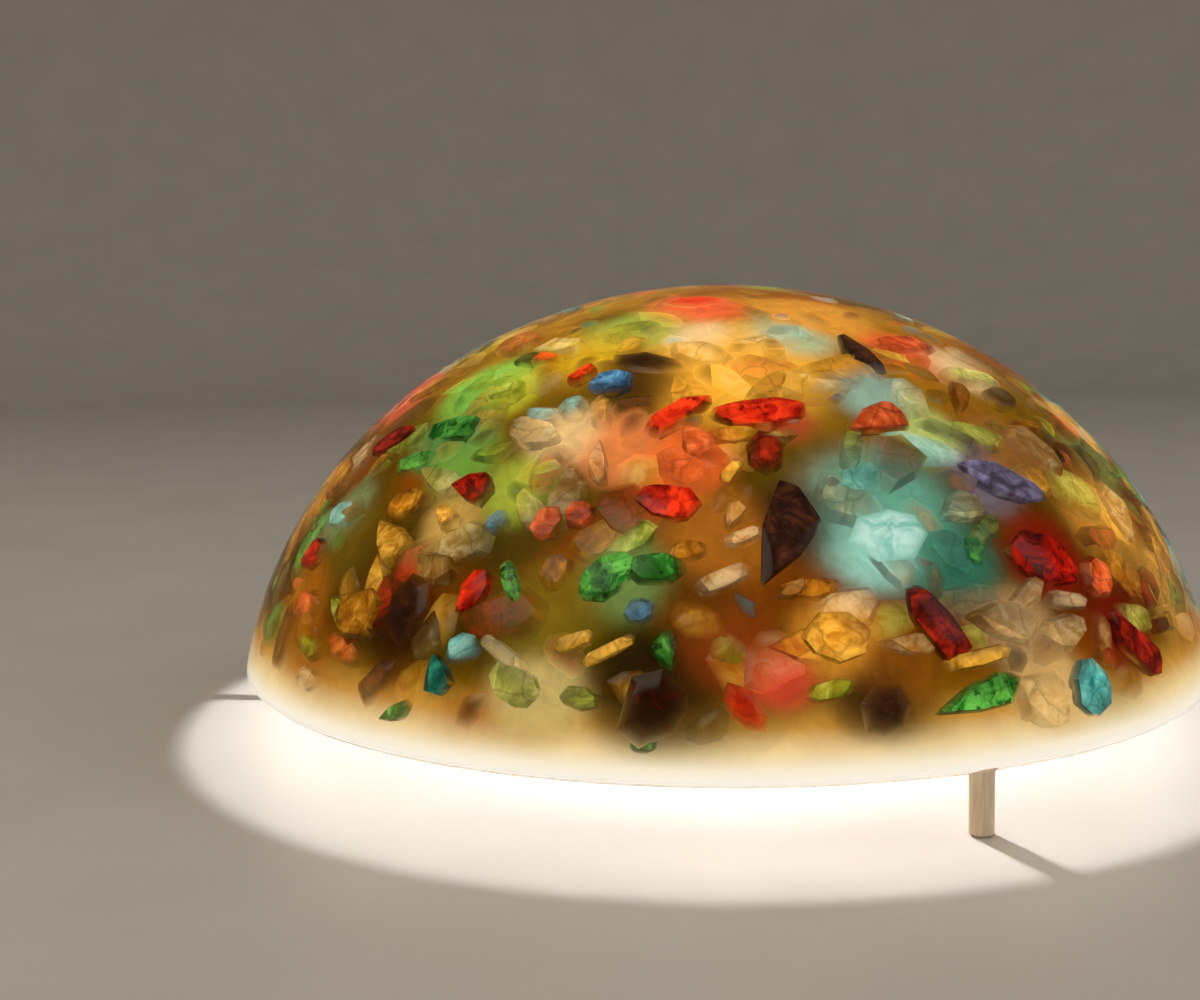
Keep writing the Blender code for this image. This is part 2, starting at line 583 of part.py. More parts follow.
def make_bulb(parent):
    radius, foot = CAPSULE_RADIUS, HOUSING_FOOT
    spigot = HOUSING_TOP + SPIGOT_HEIGHT
    profile = ((0, spigot), (SPIGOT_RADIUS, spigot), (SPIGOT_RADIUS, HOUSING_TOP), (radius, HOUSING_TOP))
    profile += ((radius, foot + 2 * HOUSING_TAPER), (radius - HOUSING_TAPER, foot), (0, foot))
    body = turned("housing", profile, CAPSULE_SIDES)
    housing = add_object("capsule_housing", body, parent, "housing", True)
    for side, label in ((-1, "left"), (1, "right")):
        make_pin(parent, housing, side * PIN_PITCH / 2, label)
    make_cover(parent)
    make_led_board(parent, spigot + SEAT_GAP)


def make_pin(parent, housing, x, label):
    half, root = PIN_LOOP / 2, HOUSING_FOOT + PIN_ROOT
    bend = HOUSING_FOOT - PIN_LENGTH + half
    points = [(x, half, root), (x, half, HOUSING_FOOT)]
    points += [(x, along, height) for along, height in arc((0, bend), half, 0, -180, PIN_BEND_STEPS)]
    points += [(x, -half, HOUSING_FOOT), (x, -half, root)]
    tube(f"pin_loop_{label}", points, PIN_WIRE / 2, parent, "plated steel", 1)
    for end, y in (("rear", half), ("front", -half)):
        low, high = HOUSING_FOOT - SEAT_GAP, root + SEAT_GAP
        name = f"pin_root_{label}_{end}"
        hole = add_object(name, rod(name, PIN_WIRE / 2 + SEAT_GAP, low, high, SCREW_SIDES), parent)
        hole.location = (x, y, 0)
        cut(housing, hole)


def make_cover(parent):
    foot, top = HOUSING_TOP + SEAT_GAP, HOUSING_TOP + SEAT_GAP + COVER_HEIGHT
    bore = CAPSULE_RADIUS - COVER_WALL
    outside = arc((0, top - CAPSULE_RADIUS), CAPSULE_RADIUS, 90, 0, COVER_STEPS)
    inside = arc((0, top - CAPSULE_RADIUS), bore, 0, 90, COVER_STEPS)
    profile = [(0, top)] + outside[1:] + [(CAPSULE_RADIUS, foot), (bore, foot)] + inside[:-1]
    profile += [(0, top - COVER_WALL)]
    add_object("capsule_cover", turned("cover", profile, CAPSULE_SIDES), parent, "cover", True)


def make_led_board(parent, foot):
    low = (-BOARD_WIDTH / 2, -BOARD_THICKNESS / 2, foot)
    high = (BOARD_WIDTH / 2, BOARD_THICKNESS / 2, foot + BOARD_HEIGHT)
    board = add_object("led_board", block("led_board", low, high), parent, "LED board")
    reach = BOARD_THICKNESS / 2 + LED_THICKNESS
    for row in range(LED_ROWS):
        middle = foot + BOARD_HEIGHT * (row + 0.5) / LED_ROWS
        low = (-LED_SIZE / 2, -reach, middle - LED_SIZE / 2)
        high = (LED_SIZE / 2, reach, middle + LED_SIZE / 2)
        cut(board, add_object(f"led_{row + 1}", block("led", low, high), parent), "UNION")


dome_axis = joint_empty("dome_lift_axis")
bulb_axis = joint_empty("bulb_pull_axis")
make_chips(dome_axis, make_dome(dome_axis))
make_legs(dome_axis)
base_disc = make_base()
make_lampholder(base_disc)
make_terminal_block(base_disc)
make_bulb(bulb_axis)
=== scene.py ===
import json
import math
import random

import bmesh
import bpy
import numpy as np
from mathutils import Matrix, Vector, geometry, noise

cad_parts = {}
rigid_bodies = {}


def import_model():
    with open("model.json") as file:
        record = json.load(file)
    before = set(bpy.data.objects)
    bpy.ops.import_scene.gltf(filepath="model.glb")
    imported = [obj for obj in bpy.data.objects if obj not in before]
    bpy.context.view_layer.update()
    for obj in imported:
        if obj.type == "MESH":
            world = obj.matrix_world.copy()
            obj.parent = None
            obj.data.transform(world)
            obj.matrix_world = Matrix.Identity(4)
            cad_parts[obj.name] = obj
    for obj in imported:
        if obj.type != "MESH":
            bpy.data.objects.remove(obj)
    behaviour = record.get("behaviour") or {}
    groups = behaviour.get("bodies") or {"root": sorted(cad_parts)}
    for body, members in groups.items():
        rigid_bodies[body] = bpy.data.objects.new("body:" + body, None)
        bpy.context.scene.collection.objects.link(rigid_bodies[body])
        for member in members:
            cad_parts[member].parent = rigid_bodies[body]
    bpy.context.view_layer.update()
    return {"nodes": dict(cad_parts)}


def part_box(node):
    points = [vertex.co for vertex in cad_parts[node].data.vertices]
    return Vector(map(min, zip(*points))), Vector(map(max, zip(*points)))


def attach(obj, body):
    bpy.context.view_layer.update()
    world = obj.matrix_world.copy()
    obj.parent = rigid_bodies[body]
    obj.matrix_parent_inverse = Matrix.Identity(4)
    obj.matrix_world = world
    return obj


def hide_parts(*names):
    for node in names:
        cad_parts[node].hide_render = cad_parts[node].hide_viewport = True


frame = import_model()
cadNodes = frame["nodes"]
mm = 0.001
print("frame loaded:", len(cadNodes), "nodes")


# small helpers

def linear(hexText):  # sRGB hex to linear
    shares = [int(hexText[k:k + 2], 16) / 255 for k in (1, 3, 5)]
    return np.array([s / 12.92 if s <= 0.04045 else ((s + 0.055) / 1.055) ** 2.4 for s in shares])


def rgba(hexText):
    return (*linear(hexText), 1.0)


def perSize(size):  # texture scale for a pattern whose features are this many mm
    return 1 / (size * mm)


def span(fromLow, fromHigh, toLow, toHigh):  # settings of a range
    return {"From Min": fromLow, "From Max": fromHigh, "To Min": toLow, "To Max": toHigh}


def addNode(tree, kind, settings=None, links=None):  # a node as a link's source gives its first output
    families = ("ShaderNode", "GeometryNode", "FunctionNode", "")
    node = tree.nodes.new(next(f + kind for f in families if hasattr(bpy.types, f + kind)))
    for key, value in (settings or {}).items():
        if isinstance(key, int) or key in node.inputs:
            node.inputs[key].default_value = value
        else:
            setattr(node, key, value)
    for key, source in (links or {}).items():
        socket = source.outputs[0] if isinstance(source, bpy.types.Node) else source
        tree.links.new(socket, node.inputs[key])
    return node


def setRamp(node, stops):  # stops are (place, hex)
    elements = node.color_ramp.elements
    while len(elements) < len(stops):
        elements.new(0.5)
    for element, (place, hexText) in zip(elements, stops):
        element.position = place
        element.color = rgba(hexText)
    return node


def newMaterial(name, sockets):
    material = bpy.data.materials.new(name)
    material.use_nodes = True
    tree = material.node_tree
    shader = tree.nodes["Principled BSDF"]
    for key, value in sockets.items():
        shader.inputs[key].default_value = value
    return material, tree, shader, addNode(tree, "TexCoord").outputs["Object"]


def grainFinish(name, sockets, size, detail, stops=None, relief=None, lit=False):
    # grain of this size in mm, one number or one for each axis; relief is (strength, height in mm)
    material, tree, shader, where = newMaterial(name, sockets)
    scale = [perSize(s) for s in np.broadcast_to(size, 3)]
    spread = addNode(tree, "Mapping", {"Scale": scale}, {"Vector": where})
    grain = addNode(tree, "TexNoise", {"Scale": 1.0, "Detail": detail[0], "Roughness": detail[1]},
                    {"Vector": spread})
    if stops:
        tint = setRamp(addNode(tree, "ValToRGB", None, {"Fac": grain}), stops)
        for socket in ("Base Color", "Emission Color") if lit else ("Base Color",):
            tree.links.new(tint.outputs["Color"], shader.inputs[socket])
    if relief:
        bump = addNode(tree, "Bump", {"Strength": relief[0], "Distance": relief[1] * mm}, {"Height": grain})
        tree.links.new(bump.outputs["Normal"], shader.inputs["Normal"])
    return material


def newPiece(name, form, material, sharpAngle=180):  # form is (verts, faces) or a bmesh
    mesh = bpy.data.meshes.new(name)
    if isinstance(form, bmesh.types.BMesh):
        form.to_mesh(mesh)
        form.free()
    else:
        mesh.from_pydata([tuple(v) for v in form[0]], [], form[1])
    mesh.materials.clear()
    mesh.materials.append(material)
    mesh.shade_smooth()
    mesh.set_sharp_from_angle(angle=math.radians(sharpAngle))
    piece = bpy.data.objects.new(name, mesh)
    bpy.context.collection.objects.link(piece)
    return piece


def setAttribute(piece, name, kind, values):
    attribute = piece.data.attributes.new(name, kind, "POINT")
    field = {"FLOAT_COLOR": "color", "FLOAT_VECTOR": "vector"}.get(kind, "value")
    attribute.data.foreach_set(field, np.asarray(values, np.float32).ravel())


def dress(piece, body, slot, *nodes):
    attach(piece, body)
    if nodes:
        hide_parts(*nodes)
    return piece


def revolve(profile, sides):  # profile is (radius, height) from the outer pole, and radius 0 is a pole
    verts, faces, rings = [], [], []
    for radius, height in profile:
        count = 1 if radius == 0 else sides
        rings.append(range(len(verts), len(verts) + count))
        for k in range(count):
            turn = 2 * math.pi * k / sides
            verts.append((radius * math.cos(turn), radius * math.sin(turn), height))
    for upper, lower in zip(rings, rings[1:]):
        for k in range(sides):
            after = (k + 1) % sides
            corners = [upper[k % len(upper)], lower[k % len(lower)]]
            corners += [lower[after % len(lower)], upper[after % len(upper)]]
            faces.append(tuple(dict.fromkeys(corners)))
    return np.array(verts), faces


def arc(centreX, centreY, radius, first, last, steps):  # angles in degrees
    turns = [math.radians(first + (last - first) * k / steps) for k in range(steps + 1)]
    return [(centreX + radius * math.cos(t), centreY + radius * math.sin(t)) for t in turns]


def wave(points, size, seed):  # smooth noise from -1 to 1 at each point
    shift = Vector((seed * 7.1, seed * 3.7, seed * 5.3))
    return np.array([noise.noise(Vector(p) * perSize(size) + shift) for p in points])


def ease(values, start, length):  # 0 up to start, then a straight rise to 1 over this length
    return np.clip((values - start) / length, 0, 1)


# the dome's shape, taken from its CAD solid

domeShape = {"equatorDrop": 20 * mm, "wallAtRim": 22 * mm, "wallAtCrown": 18 * mm, "rimRounding": 3 * mm}
domeLow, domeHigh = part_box("resin_dome")
rimZ = domeLow.z
centreZ = rimZ - domeShape["equatorDrop"]
outerHeight = domeHigh.z - centreZ
turnLatitude = math.asin((domeShape["equatorDrop"] + domeShape["rimRounding"]) / outerHeight)
outerRadius = domeHigh.x / math.cos(turnLatitude)
rimLatitude = math.asin(domeShape["equatorDrop"] / outerHeight)
rimRadius = outerRadius * math.cos(rimLatitude)
innerHeight = outerHeight - domeShape["wallAtCrown"]
innerRimLatitude = math.asin(domeShape["equatorDrop"] / innerHeight)
innerRadius = (rimRadius - domeShape["wallAtRim"]) / math.cos(innerRimLatitude)
meanRadius = (outerRadius + outerHeight) / 2


def ellipsePoints(radius, height, first, last, steps):  # latitudes in radians
    latitudes = [first + (last - first) * k / steps for k in range(steps + 1)]
    return [(radius * math.cos(t), centreZ + height * math.sin(t)) for t in latitudes]


def domeFrame(azimuth, rise, turn, depth):  # local x along the chip, z out of the dome, depth in metres
    a, latitude = math.radians(azimuth), rimLatitude + math.radians(rise)
    flat = Vector((math.cos(a), math.sin(a), 0))
    spot = flat * (outerRadius * math.cos(latitude))
    spot.z = centreZ + outerHeight * math.sin(latitude)
    outward = flat * (math.cos(latitude) / outerRadius)
    outward.z = math.sin(latitude) / outerHeight
    outward.normalize()
    along = Matrix.Rotation(math.radians(turn), 3, outward) @ Vector((-math.sin(a), math.cos(a), 0))
    axes = Matrix((along, outward.cross(along), outward)).transposed().to_4x4()
    return Matrix.Translation(spot - outward * depth) @ axes


def fromMiddle(points):
    return np.asarray(points, float) - (0, 0, centreZ)


def domeLevel(points):  # 1 on the outer face, less below it
    return np.linalg.norm(fromMiddle(points) / (outerRadius, outerRadius, outerHeight), axis=1)


def domeWays(points):  # directions from the dome's middle, with the dome taken as a sphere
    return fromMiddle(points) / (outerRadius, outerRadius, outerHeight) / domeLevel(points)[:, None]


def riseOf(ways):  # degrees above the rim
    return np.degrees(np.arcsin(np.clip(ways[:, 2], -1, 1)) - rimLatitude)


def depthBelowSkin(points):
    return np.linalg.norm(fromMiddle(points), axis=1) * (1 / domeLevel(points) - 1)


def keepBelowSkin(points, least):  # moves in any point that lies less than this below the outer face
    level = domeLevel(points)
    limit = 1 - least / meanRadius
    share = np.where(level > limit, limit / level, 1)
    return fromMiddle(points) * share[:, None] + (0, 0, centreZ)


# colours inside the resin, painted on as its glow in the lamp's light: near-white low down, where the rim
# is lit from the table (painted light), warm by height above, with blurred patches where glass lies deep

hazeLook = {
    # the stops near the rim are near-white: painted light of the lamp and the lit table on the rim
    "stops": ((0, "#F6F5F2"), (1.6, "#F6EEDC"), (3.6, "#EBD29A"), (6, "#C08E38"), (9, "#745008"),
              (13, "#3E2B02"), (22, "#443003"), (35, "#644606"), (50, "#A87818"), (80, "#BC862A")),
    "plainRim": (2, 5),  # where the patches start, and over how many degrees they come up
    "olive": "#3A3204", "orange": "#8A3E06", "blotch": 26, "blotchSeed": 1, "blotchGain": 1.4,
    "blotchMost": 0.8, "strength": 6, "backPatches": 190, "backRadius": (5, 12), "backAround": (-14, 194),
    "backHeight": (0.24, 0.995), "seed": 5,
}
frontPatches = (  # colour, azimuth, rise, radius in mm
    ("#FFB838", -85, 49.5, 17), ("#FFC050", -88, 55, 13), ("#7FC84A", -139, 45.5, 11),
    ("#C8C832", -131, 45, 7), ("#E0B41E", -119, 54, 10), ("#A8B84A", -114, 60, 12),
    # the cream spot at -94, 58 is a painted highlight
    ("#FF6A40", -100, 66, 11), ("#E8A03C", -55, 63, 13), ("#A8C8A0", -71, 57, 9), ("#F5DCB0", -94, 58, 7),
    ("#F05A32", -43, 52, 9), ("#E8C890", -34, 48, 9), ("#8FB0A0", -62, 44, 8), ("#62A890", -70, 28, 14),
    ("#A4E0D2", -72, 24, 8), ("#2E6E58", -63, 22, 9), ("#6E6470", -53, 31, 8), ("#8A5A2A", -44, 35, 9),
    ("#C88A32", -33, 24, 13), ("#2E1C06", -35, 32, 8), ("#7A0C08", -49, 21, 10), ("#640C08", -41, 12, 11),
    ("#DDB470", -55, 6.5, 9), ("#B08A5A", -57, 14, 8), ("#D08A2A", -78, 14.5, 8), ("#80480E", -72, 11, 8),
    ("#84380E", -89, 14, 9), ("#D2462E", -84, 11, 6), ("#5E3408", -92, 18, 8), ("#A8641C", -90, 26, 10),
    ("#F0682A", -95, 35, 9), ("#E88648", -104, 37, 9), ("#F0C888", -113, 38.5, 8),
    ("#A8B43C", -117, 31, 8), ("#4E8C46", -134, 37, 9), ("#6EA03C", -129, 34, 8),
    ("#746010", -108, 17, 10), ("#6E8A46", -100, 21, 8), ("#C8B46E", -108, 8, 9),
    ("#4A3408", -135, 20, 12), ("#160C04", -127, 14, 10), ("#66500E", -142, 22, 10),
    ("#9A5A10", -148, 14, 10), ("#7A8A5A", -148, 25, 8), ("#C8A050", -125, 26, 7),
    # the dark patch at -80.5, 28 is painted shade beside the dark wedge chip
    ("#180C06", -96, 9, 12), ("#1E100A", -104, 48, 9), ("#2A160C", -80.5, 28, 8),
    ("#1E120C", -74.5, 8, 8), ("#B03C28", -80, 41, 6), ("#B8C870", -58, 38, 8), ("#B88A40", -27, 14, 10),
    ("#6A7A3A", -24, 30, 9),
)
backColours = ("#F5AE46", "#C88A32", "#E0B41E", "#A8B84A", "#6EA03C", "#82BEB4", "#5F9C8C", "#F06A46",
               "#A01E14", "#8A7A22", "#F0D2A0", "#5A4418", "#9A8F9E", "#B4783C")


def backPatches():
    rng = random.Random(hazeLook["seed"])
    patches = []
    while len(patches) < hazeLook["backPatches"]:
        rise = math.degrees(math.asin(rng.uniform(*hazeLook["backHeight"]))) - math.degrees(rimLatitude)
        colour, azimuth = rng.choice(backColours), rng.uniform(*hazeLook["backAround"])
        patches.append((colour, azimuth, rise, rng.uniform(*hazeLook["backRadius"])))
    return tuple(patches)


hazePatches = frontPatches + backPatches()


def hazeAt(points):
    ways = domeWays(points)
    rise = riseOf(ways)
    places = [place for place, hexText in hazeLook["stops"]]
    tones = np.array([linear(hexText) for place, hexText in hazeLook["stops"]])
    colours = np.stack([np.interp(rise, places, tones[:, k]) for k in range(3)], 1)
    inner = ease(rise, *hazeLook["plainRim"])[:, None]
    blotch = wave(ways * meanRadius, hazeLook["blotch"], hazeLook["blotchSeed"])[:, None]
    for name, side in (("olive", 1), ("orange", -1)):
        share = np.clip(side * blotch * hazeLook["blotchGain"], 0, hazeLook["blotchMost"]) * inner
        colours += (linear(hazeLook[name]) - colours) * share
    total = np.ones((len(colours), 1))
    for hexText, azimuth, patchRise, radius in hazePatches:
        a, latitude = math.radians(azimuth), rimLatitude + math.radians(patchRise)
        middle = (math.cos(latitude) * math.cos(a), math.cos(latitude) * math.sin(a), math.sin(latitude))
        away = np.arccos(np.clip(ways @ np.array(middle), -1, 1)) * meanRadius / (radius * mm)
        weight = np.exp(-away ** 3)[:, None] * inner * hazeLook["strength"]
        colours += weight * linear(hexText)
        total += weight
    return colours / total


# resin: a milky core that carries the colours, under a clear skin

glow = {"strength": 1.0, "body": 0.10}  # the lamp's light in a colour, and how much room light it takes
coreShape = {
    "sides": 288, "outerRings": 104, "innerRings": 40, "depth": 4.6 * mm, "rimDepth": 0.8 * mm,
    "rimRise": 8, "rimStart": 0.5, "rimTurn": (-15, -90, 4), "lift": 0.5 * mm, "innerGap": 0.6 * mm,
    "innerLift": 2 * mm, "footWidth": 1.5 * mm, "lumps": 16, "lumpSeed": 3, "lumpHeight": 0.9 * mm,
    "lumpsFrom": (3, 8), "wispsFrom": (2, 7),
}
skinShape = {"sides": 224, "outerRings": 80, "turnSteps": 6, "innerRings": 44, "ripple": 0.16 * mm,
             "rippleSize": 34, "rippleSeed": 5, "rimWear": 0.2 * mm, "rimWearSize": 9, "rimWearSeed": 8}


def glowingColour(tree, shader, source):  # lit through by the lamp, so it mostly glows
    dim = {"data_type": "RGBA", "blend_type": "MULTIPLY", 0: 1.0, 7: (glow["body"],) * 3 + (1.0,)}
    body = addNode(tree, "Mix", dim, {6: source})
    tree.links.new(body.outputs[2], shader.inputs["Base Color"])
    tree.links.new(source, shader.inputs["Emission Color"])
    shader.inputs["Emission Strength"].default_value = glow["strength"]


def castResinClear():  # clear polyester casting resin, polished: gloss and depth over what lies in it
    sockets = {"Base Color": rgba("#FFFAF0"), "Roughness": 0.06, "IOR": 1.06, "Transmission Weight": 1.0,
               "Specular Tint": rgba("#A0A0A0")}
    material = grainFinish("cast resin, clear layer", sockets, 9, (2.0, 0.5), None, (0.05, 0.3))
    tree = material.node_tree
    tint = addNode(tree, "VolumeAbsorption", {"Color": rgba("#D89A3C"), "Density": 12.0})
    tree.links.new(tint.outputs["Volume"], tree.nodes["Material Output"].inputs["Volume"])
    return material


def castResinMilky():  # resin clouded with fine bubbles: soft light, wisps and no hard edges
    sockets = {"Roughness": 0.55, "Specular IOR Level": 0.0}
    material, tree, shader, where = newMaterial("cast resin, milky", sockets)
    haze = addNode(tree, "Attribute", {"attribute_name": "haze"})  # its alpha calms the rim
    cloudy = {"Scale": perSize(7), "Detail": 4.0, "Roughness": 0.6, "Distortion": 1.2}
    wisps = addNode(tree, "TexNoise", cloudy, {"Vector": where})
    share = addNode(tree, "MapRange", span(0.3, 0.7, 0.84, 1.16), {"Value": wisps})
    lively = addNode(tree, "Mix", {"data_type": "FLOAT", 2: 1.0}, {0: haze.outputs["Alpha"], 3: share})
    cloud = addNode(tree, "VectorMath", {"operation": "SCALE"}, {0: haze, "Scale": lively})
    glowingColour(tree, shader, cloud.outputs["Vector"])
    return material


def makeCore():
    shape = coreShape
    rimStart = rimLatitude + math.radians(shape["rimStart"])
    outer = []
    for k in range(shape["outerRings"] + 1):
        latitude = math.pi / 2 + (rimStart - math.pi / 2) * k / shape["outerRings"]
        blend = min(1, math.degrees(latitude - rimLatitude) / shape["rimRise"])
        blend = blend * blend * (3 - 2 * blend)
        depth = shape["rimDepth"] + (shape["depth"] - shape["rimDepth"]) * blend
        height = centreZ + (outerHeight - depth) * math.sin(latitude)
        outer.append(((outerRadius - depth) * math.cos(latitude), height))
    outer[0] = (0, outer[0][1])
    outer = [point for point in outer if point[1] > rimZ + domeShape["rimRounding"]]
    foot = rimZ + shape["lift"]
    soft = domeShape["rimRounding"] - shape["lift"]
    outer += arc(outer[-1][0] - soft, foot + soft, soft, *shape["rimTurn"])
    gap = shape["innerGap"]
    low = math.asin((foot + shape["innerLift"] - centreZ) / (innerHeight + gap))
    inner = ellipsePoints(innerRadius + gap, innerHeight + gap, low, math.pi / 2, shape["innerRings"])
    inner[-1] = (0, inner[-1][1])
    verts, faces = revolve(outer + [(inner[0][0] + shape["footWidth"], foot)] + inner, shape["sides"])
    ways = domeWays(verts)
    rise = riseOf(ways)
    lumps = wave(verts, shape["lumps"], shape["lumpSeed"]) * shape["lumpHeight"]
    lumps *= ease(rise, *shape["lumpsFrom"])
    lumps[1 + (len(outer) - 1) * shape["sides"]:] = 0  # the inside stays even
    verts += ways * lumps[:, None]
    core = newPiece("milky_resin", (verts, faces), castResinMilky())
    setAttribute(core, "haze", "FLOAT_COLOR", np.c_[hazeAt(verts), ease(rise, *shape["wispsFrom"])])
    dress(core, "dome", "cast_resin", "resin_dome")


def makeSkin():
    shape, rounding = skinShape, domeShape["rimRounding"]
    outer = ellipsePoints(outerRadius, outerHeight, math.pi / 2, turnLatitude, shape["outerRings"])
    innerTurn = math.asin((domeShape["equatorDrop"] + rounding) / innerHeight)
    inner = ellipsePoints(innerRadius, innerHeight, innerTurn, math.pi / 2, shape["innerRings"])
    outer[0], inner[-1] = (0, outer[0][1]), (0, inner[-1][1])
    steps, middle = shape["turnSteps"], rimZ + rounding
    profile = outer + arc(outer[-1][0] - rounding, middle, rounding, 0, -90, steps)[1:]
    profile += arc(inner[0][0] + rounding, middle, rounding, -90, -180, steps)[:-1] + inner
    verts, faces = revolve(profile, shape["sides"])
    ripple = wave(verts, shape["rippleSize"], shape["rippleSeed"]) * shape["ripple"] - shape["ripple"]
    verts += domeWays(verts) * ripple[:, None]
    nearRim = np.clip(1 - (verts[:, 2] - rimZ) / (2 * rounding), 0, 1)
    wear = wave(verts, shape["rimWearSize"], shape["rimWearSeed"])
    verts[:, 2] += (wear + 1) * 0.5 * shape["rimWear"] * nearRim
    skin = newPiece("resin_dome_skin", (verts, faces), castResinClear())
    dress(skin, "dome", "cast_resin", "resin_dome")


makeCore()
makeSkin()
print("resin: milky core and clear skin")


# glass chips: their glass

glassLooks = {  # body colours, and how dark its flaws are or how much milk lies over it
    "ruby": {"dark": "#4A0603", "mid": "#AE1407", "bright": "#EE3814", "speckShade": 0.35},
    "garnet": {"dark": "#1C0403", "mid": "#5E0C06", "bright": "#A82210", "speckShade": 0.5},
    "coral": {"dark": "#7A2208", "mid": "#BE4A1E", "bright": "#EC7840"},
    "amber": {"dark": "#643404", "mid": "#B06E12", "bright": "#F4B640", "veilLeast": 0.25},
    "lime": {"dark": "#3C4808", "mid": "#7E8C1C", "bright": "#CCCC5C", "veilLeast": 0.3},
    "emerald": {"dark": "#052005", "mid": "#185C16", "bright": "#5CAA42", "speckShade": 0.25},
    "teal": {"dark": "#06261E", "mid": "#125644", "bright": "#328C74"},
    "turquoise": {"dark": "#246A62", "mid": "#4CA098", "bright": "#98D4C4"},
    "aqua": {"dark": "#4E9088", "mid": "#84C4B8", "bright": "#D0F2EA", "veilLeast": 0.3},
    "violet": {"dark": "#1E1428", "mid": "#463C5C", "bright": "#8A84A8", "veilLeast": 0.25},
    "cobalt": {"dark": "#10283E", "mid": "#285478", "bright": "#5E92B4"},
    "clear": {"dark": "#644818", "mid": "#A88444", "bright": "#F6DEA4", "veilLeast": 0.68},
    "smoke": {"dark": "#0E0604", "mid": "#24110A", "bright": "#4A2616"},
}
glassGrain = {  # sizes in mm, and shares of the painted light and shade
    "cloud": 6, "toneShift": 0.42, "side": 0.4, "face": 0.98, "facet": (0.55, 1.36), "flake": 3.0,
    "flakes": 0.09, "crack": 14, "crackBend": 5, "crackWander": 4, "crackShade": 0.6, "crackWidth": 0.035,
    "speck": 2.2, "speckShade": 0.85, "milk": 5, "ragged": 0.36, "edgeFrom": 0.82, "edgeBlur": 0.5,
    "middle": 1.08, "edgeShade": 0.7, "softLight": 0.9, "milkShade": (0.7, 0.4), "veilLeast": 0,
}


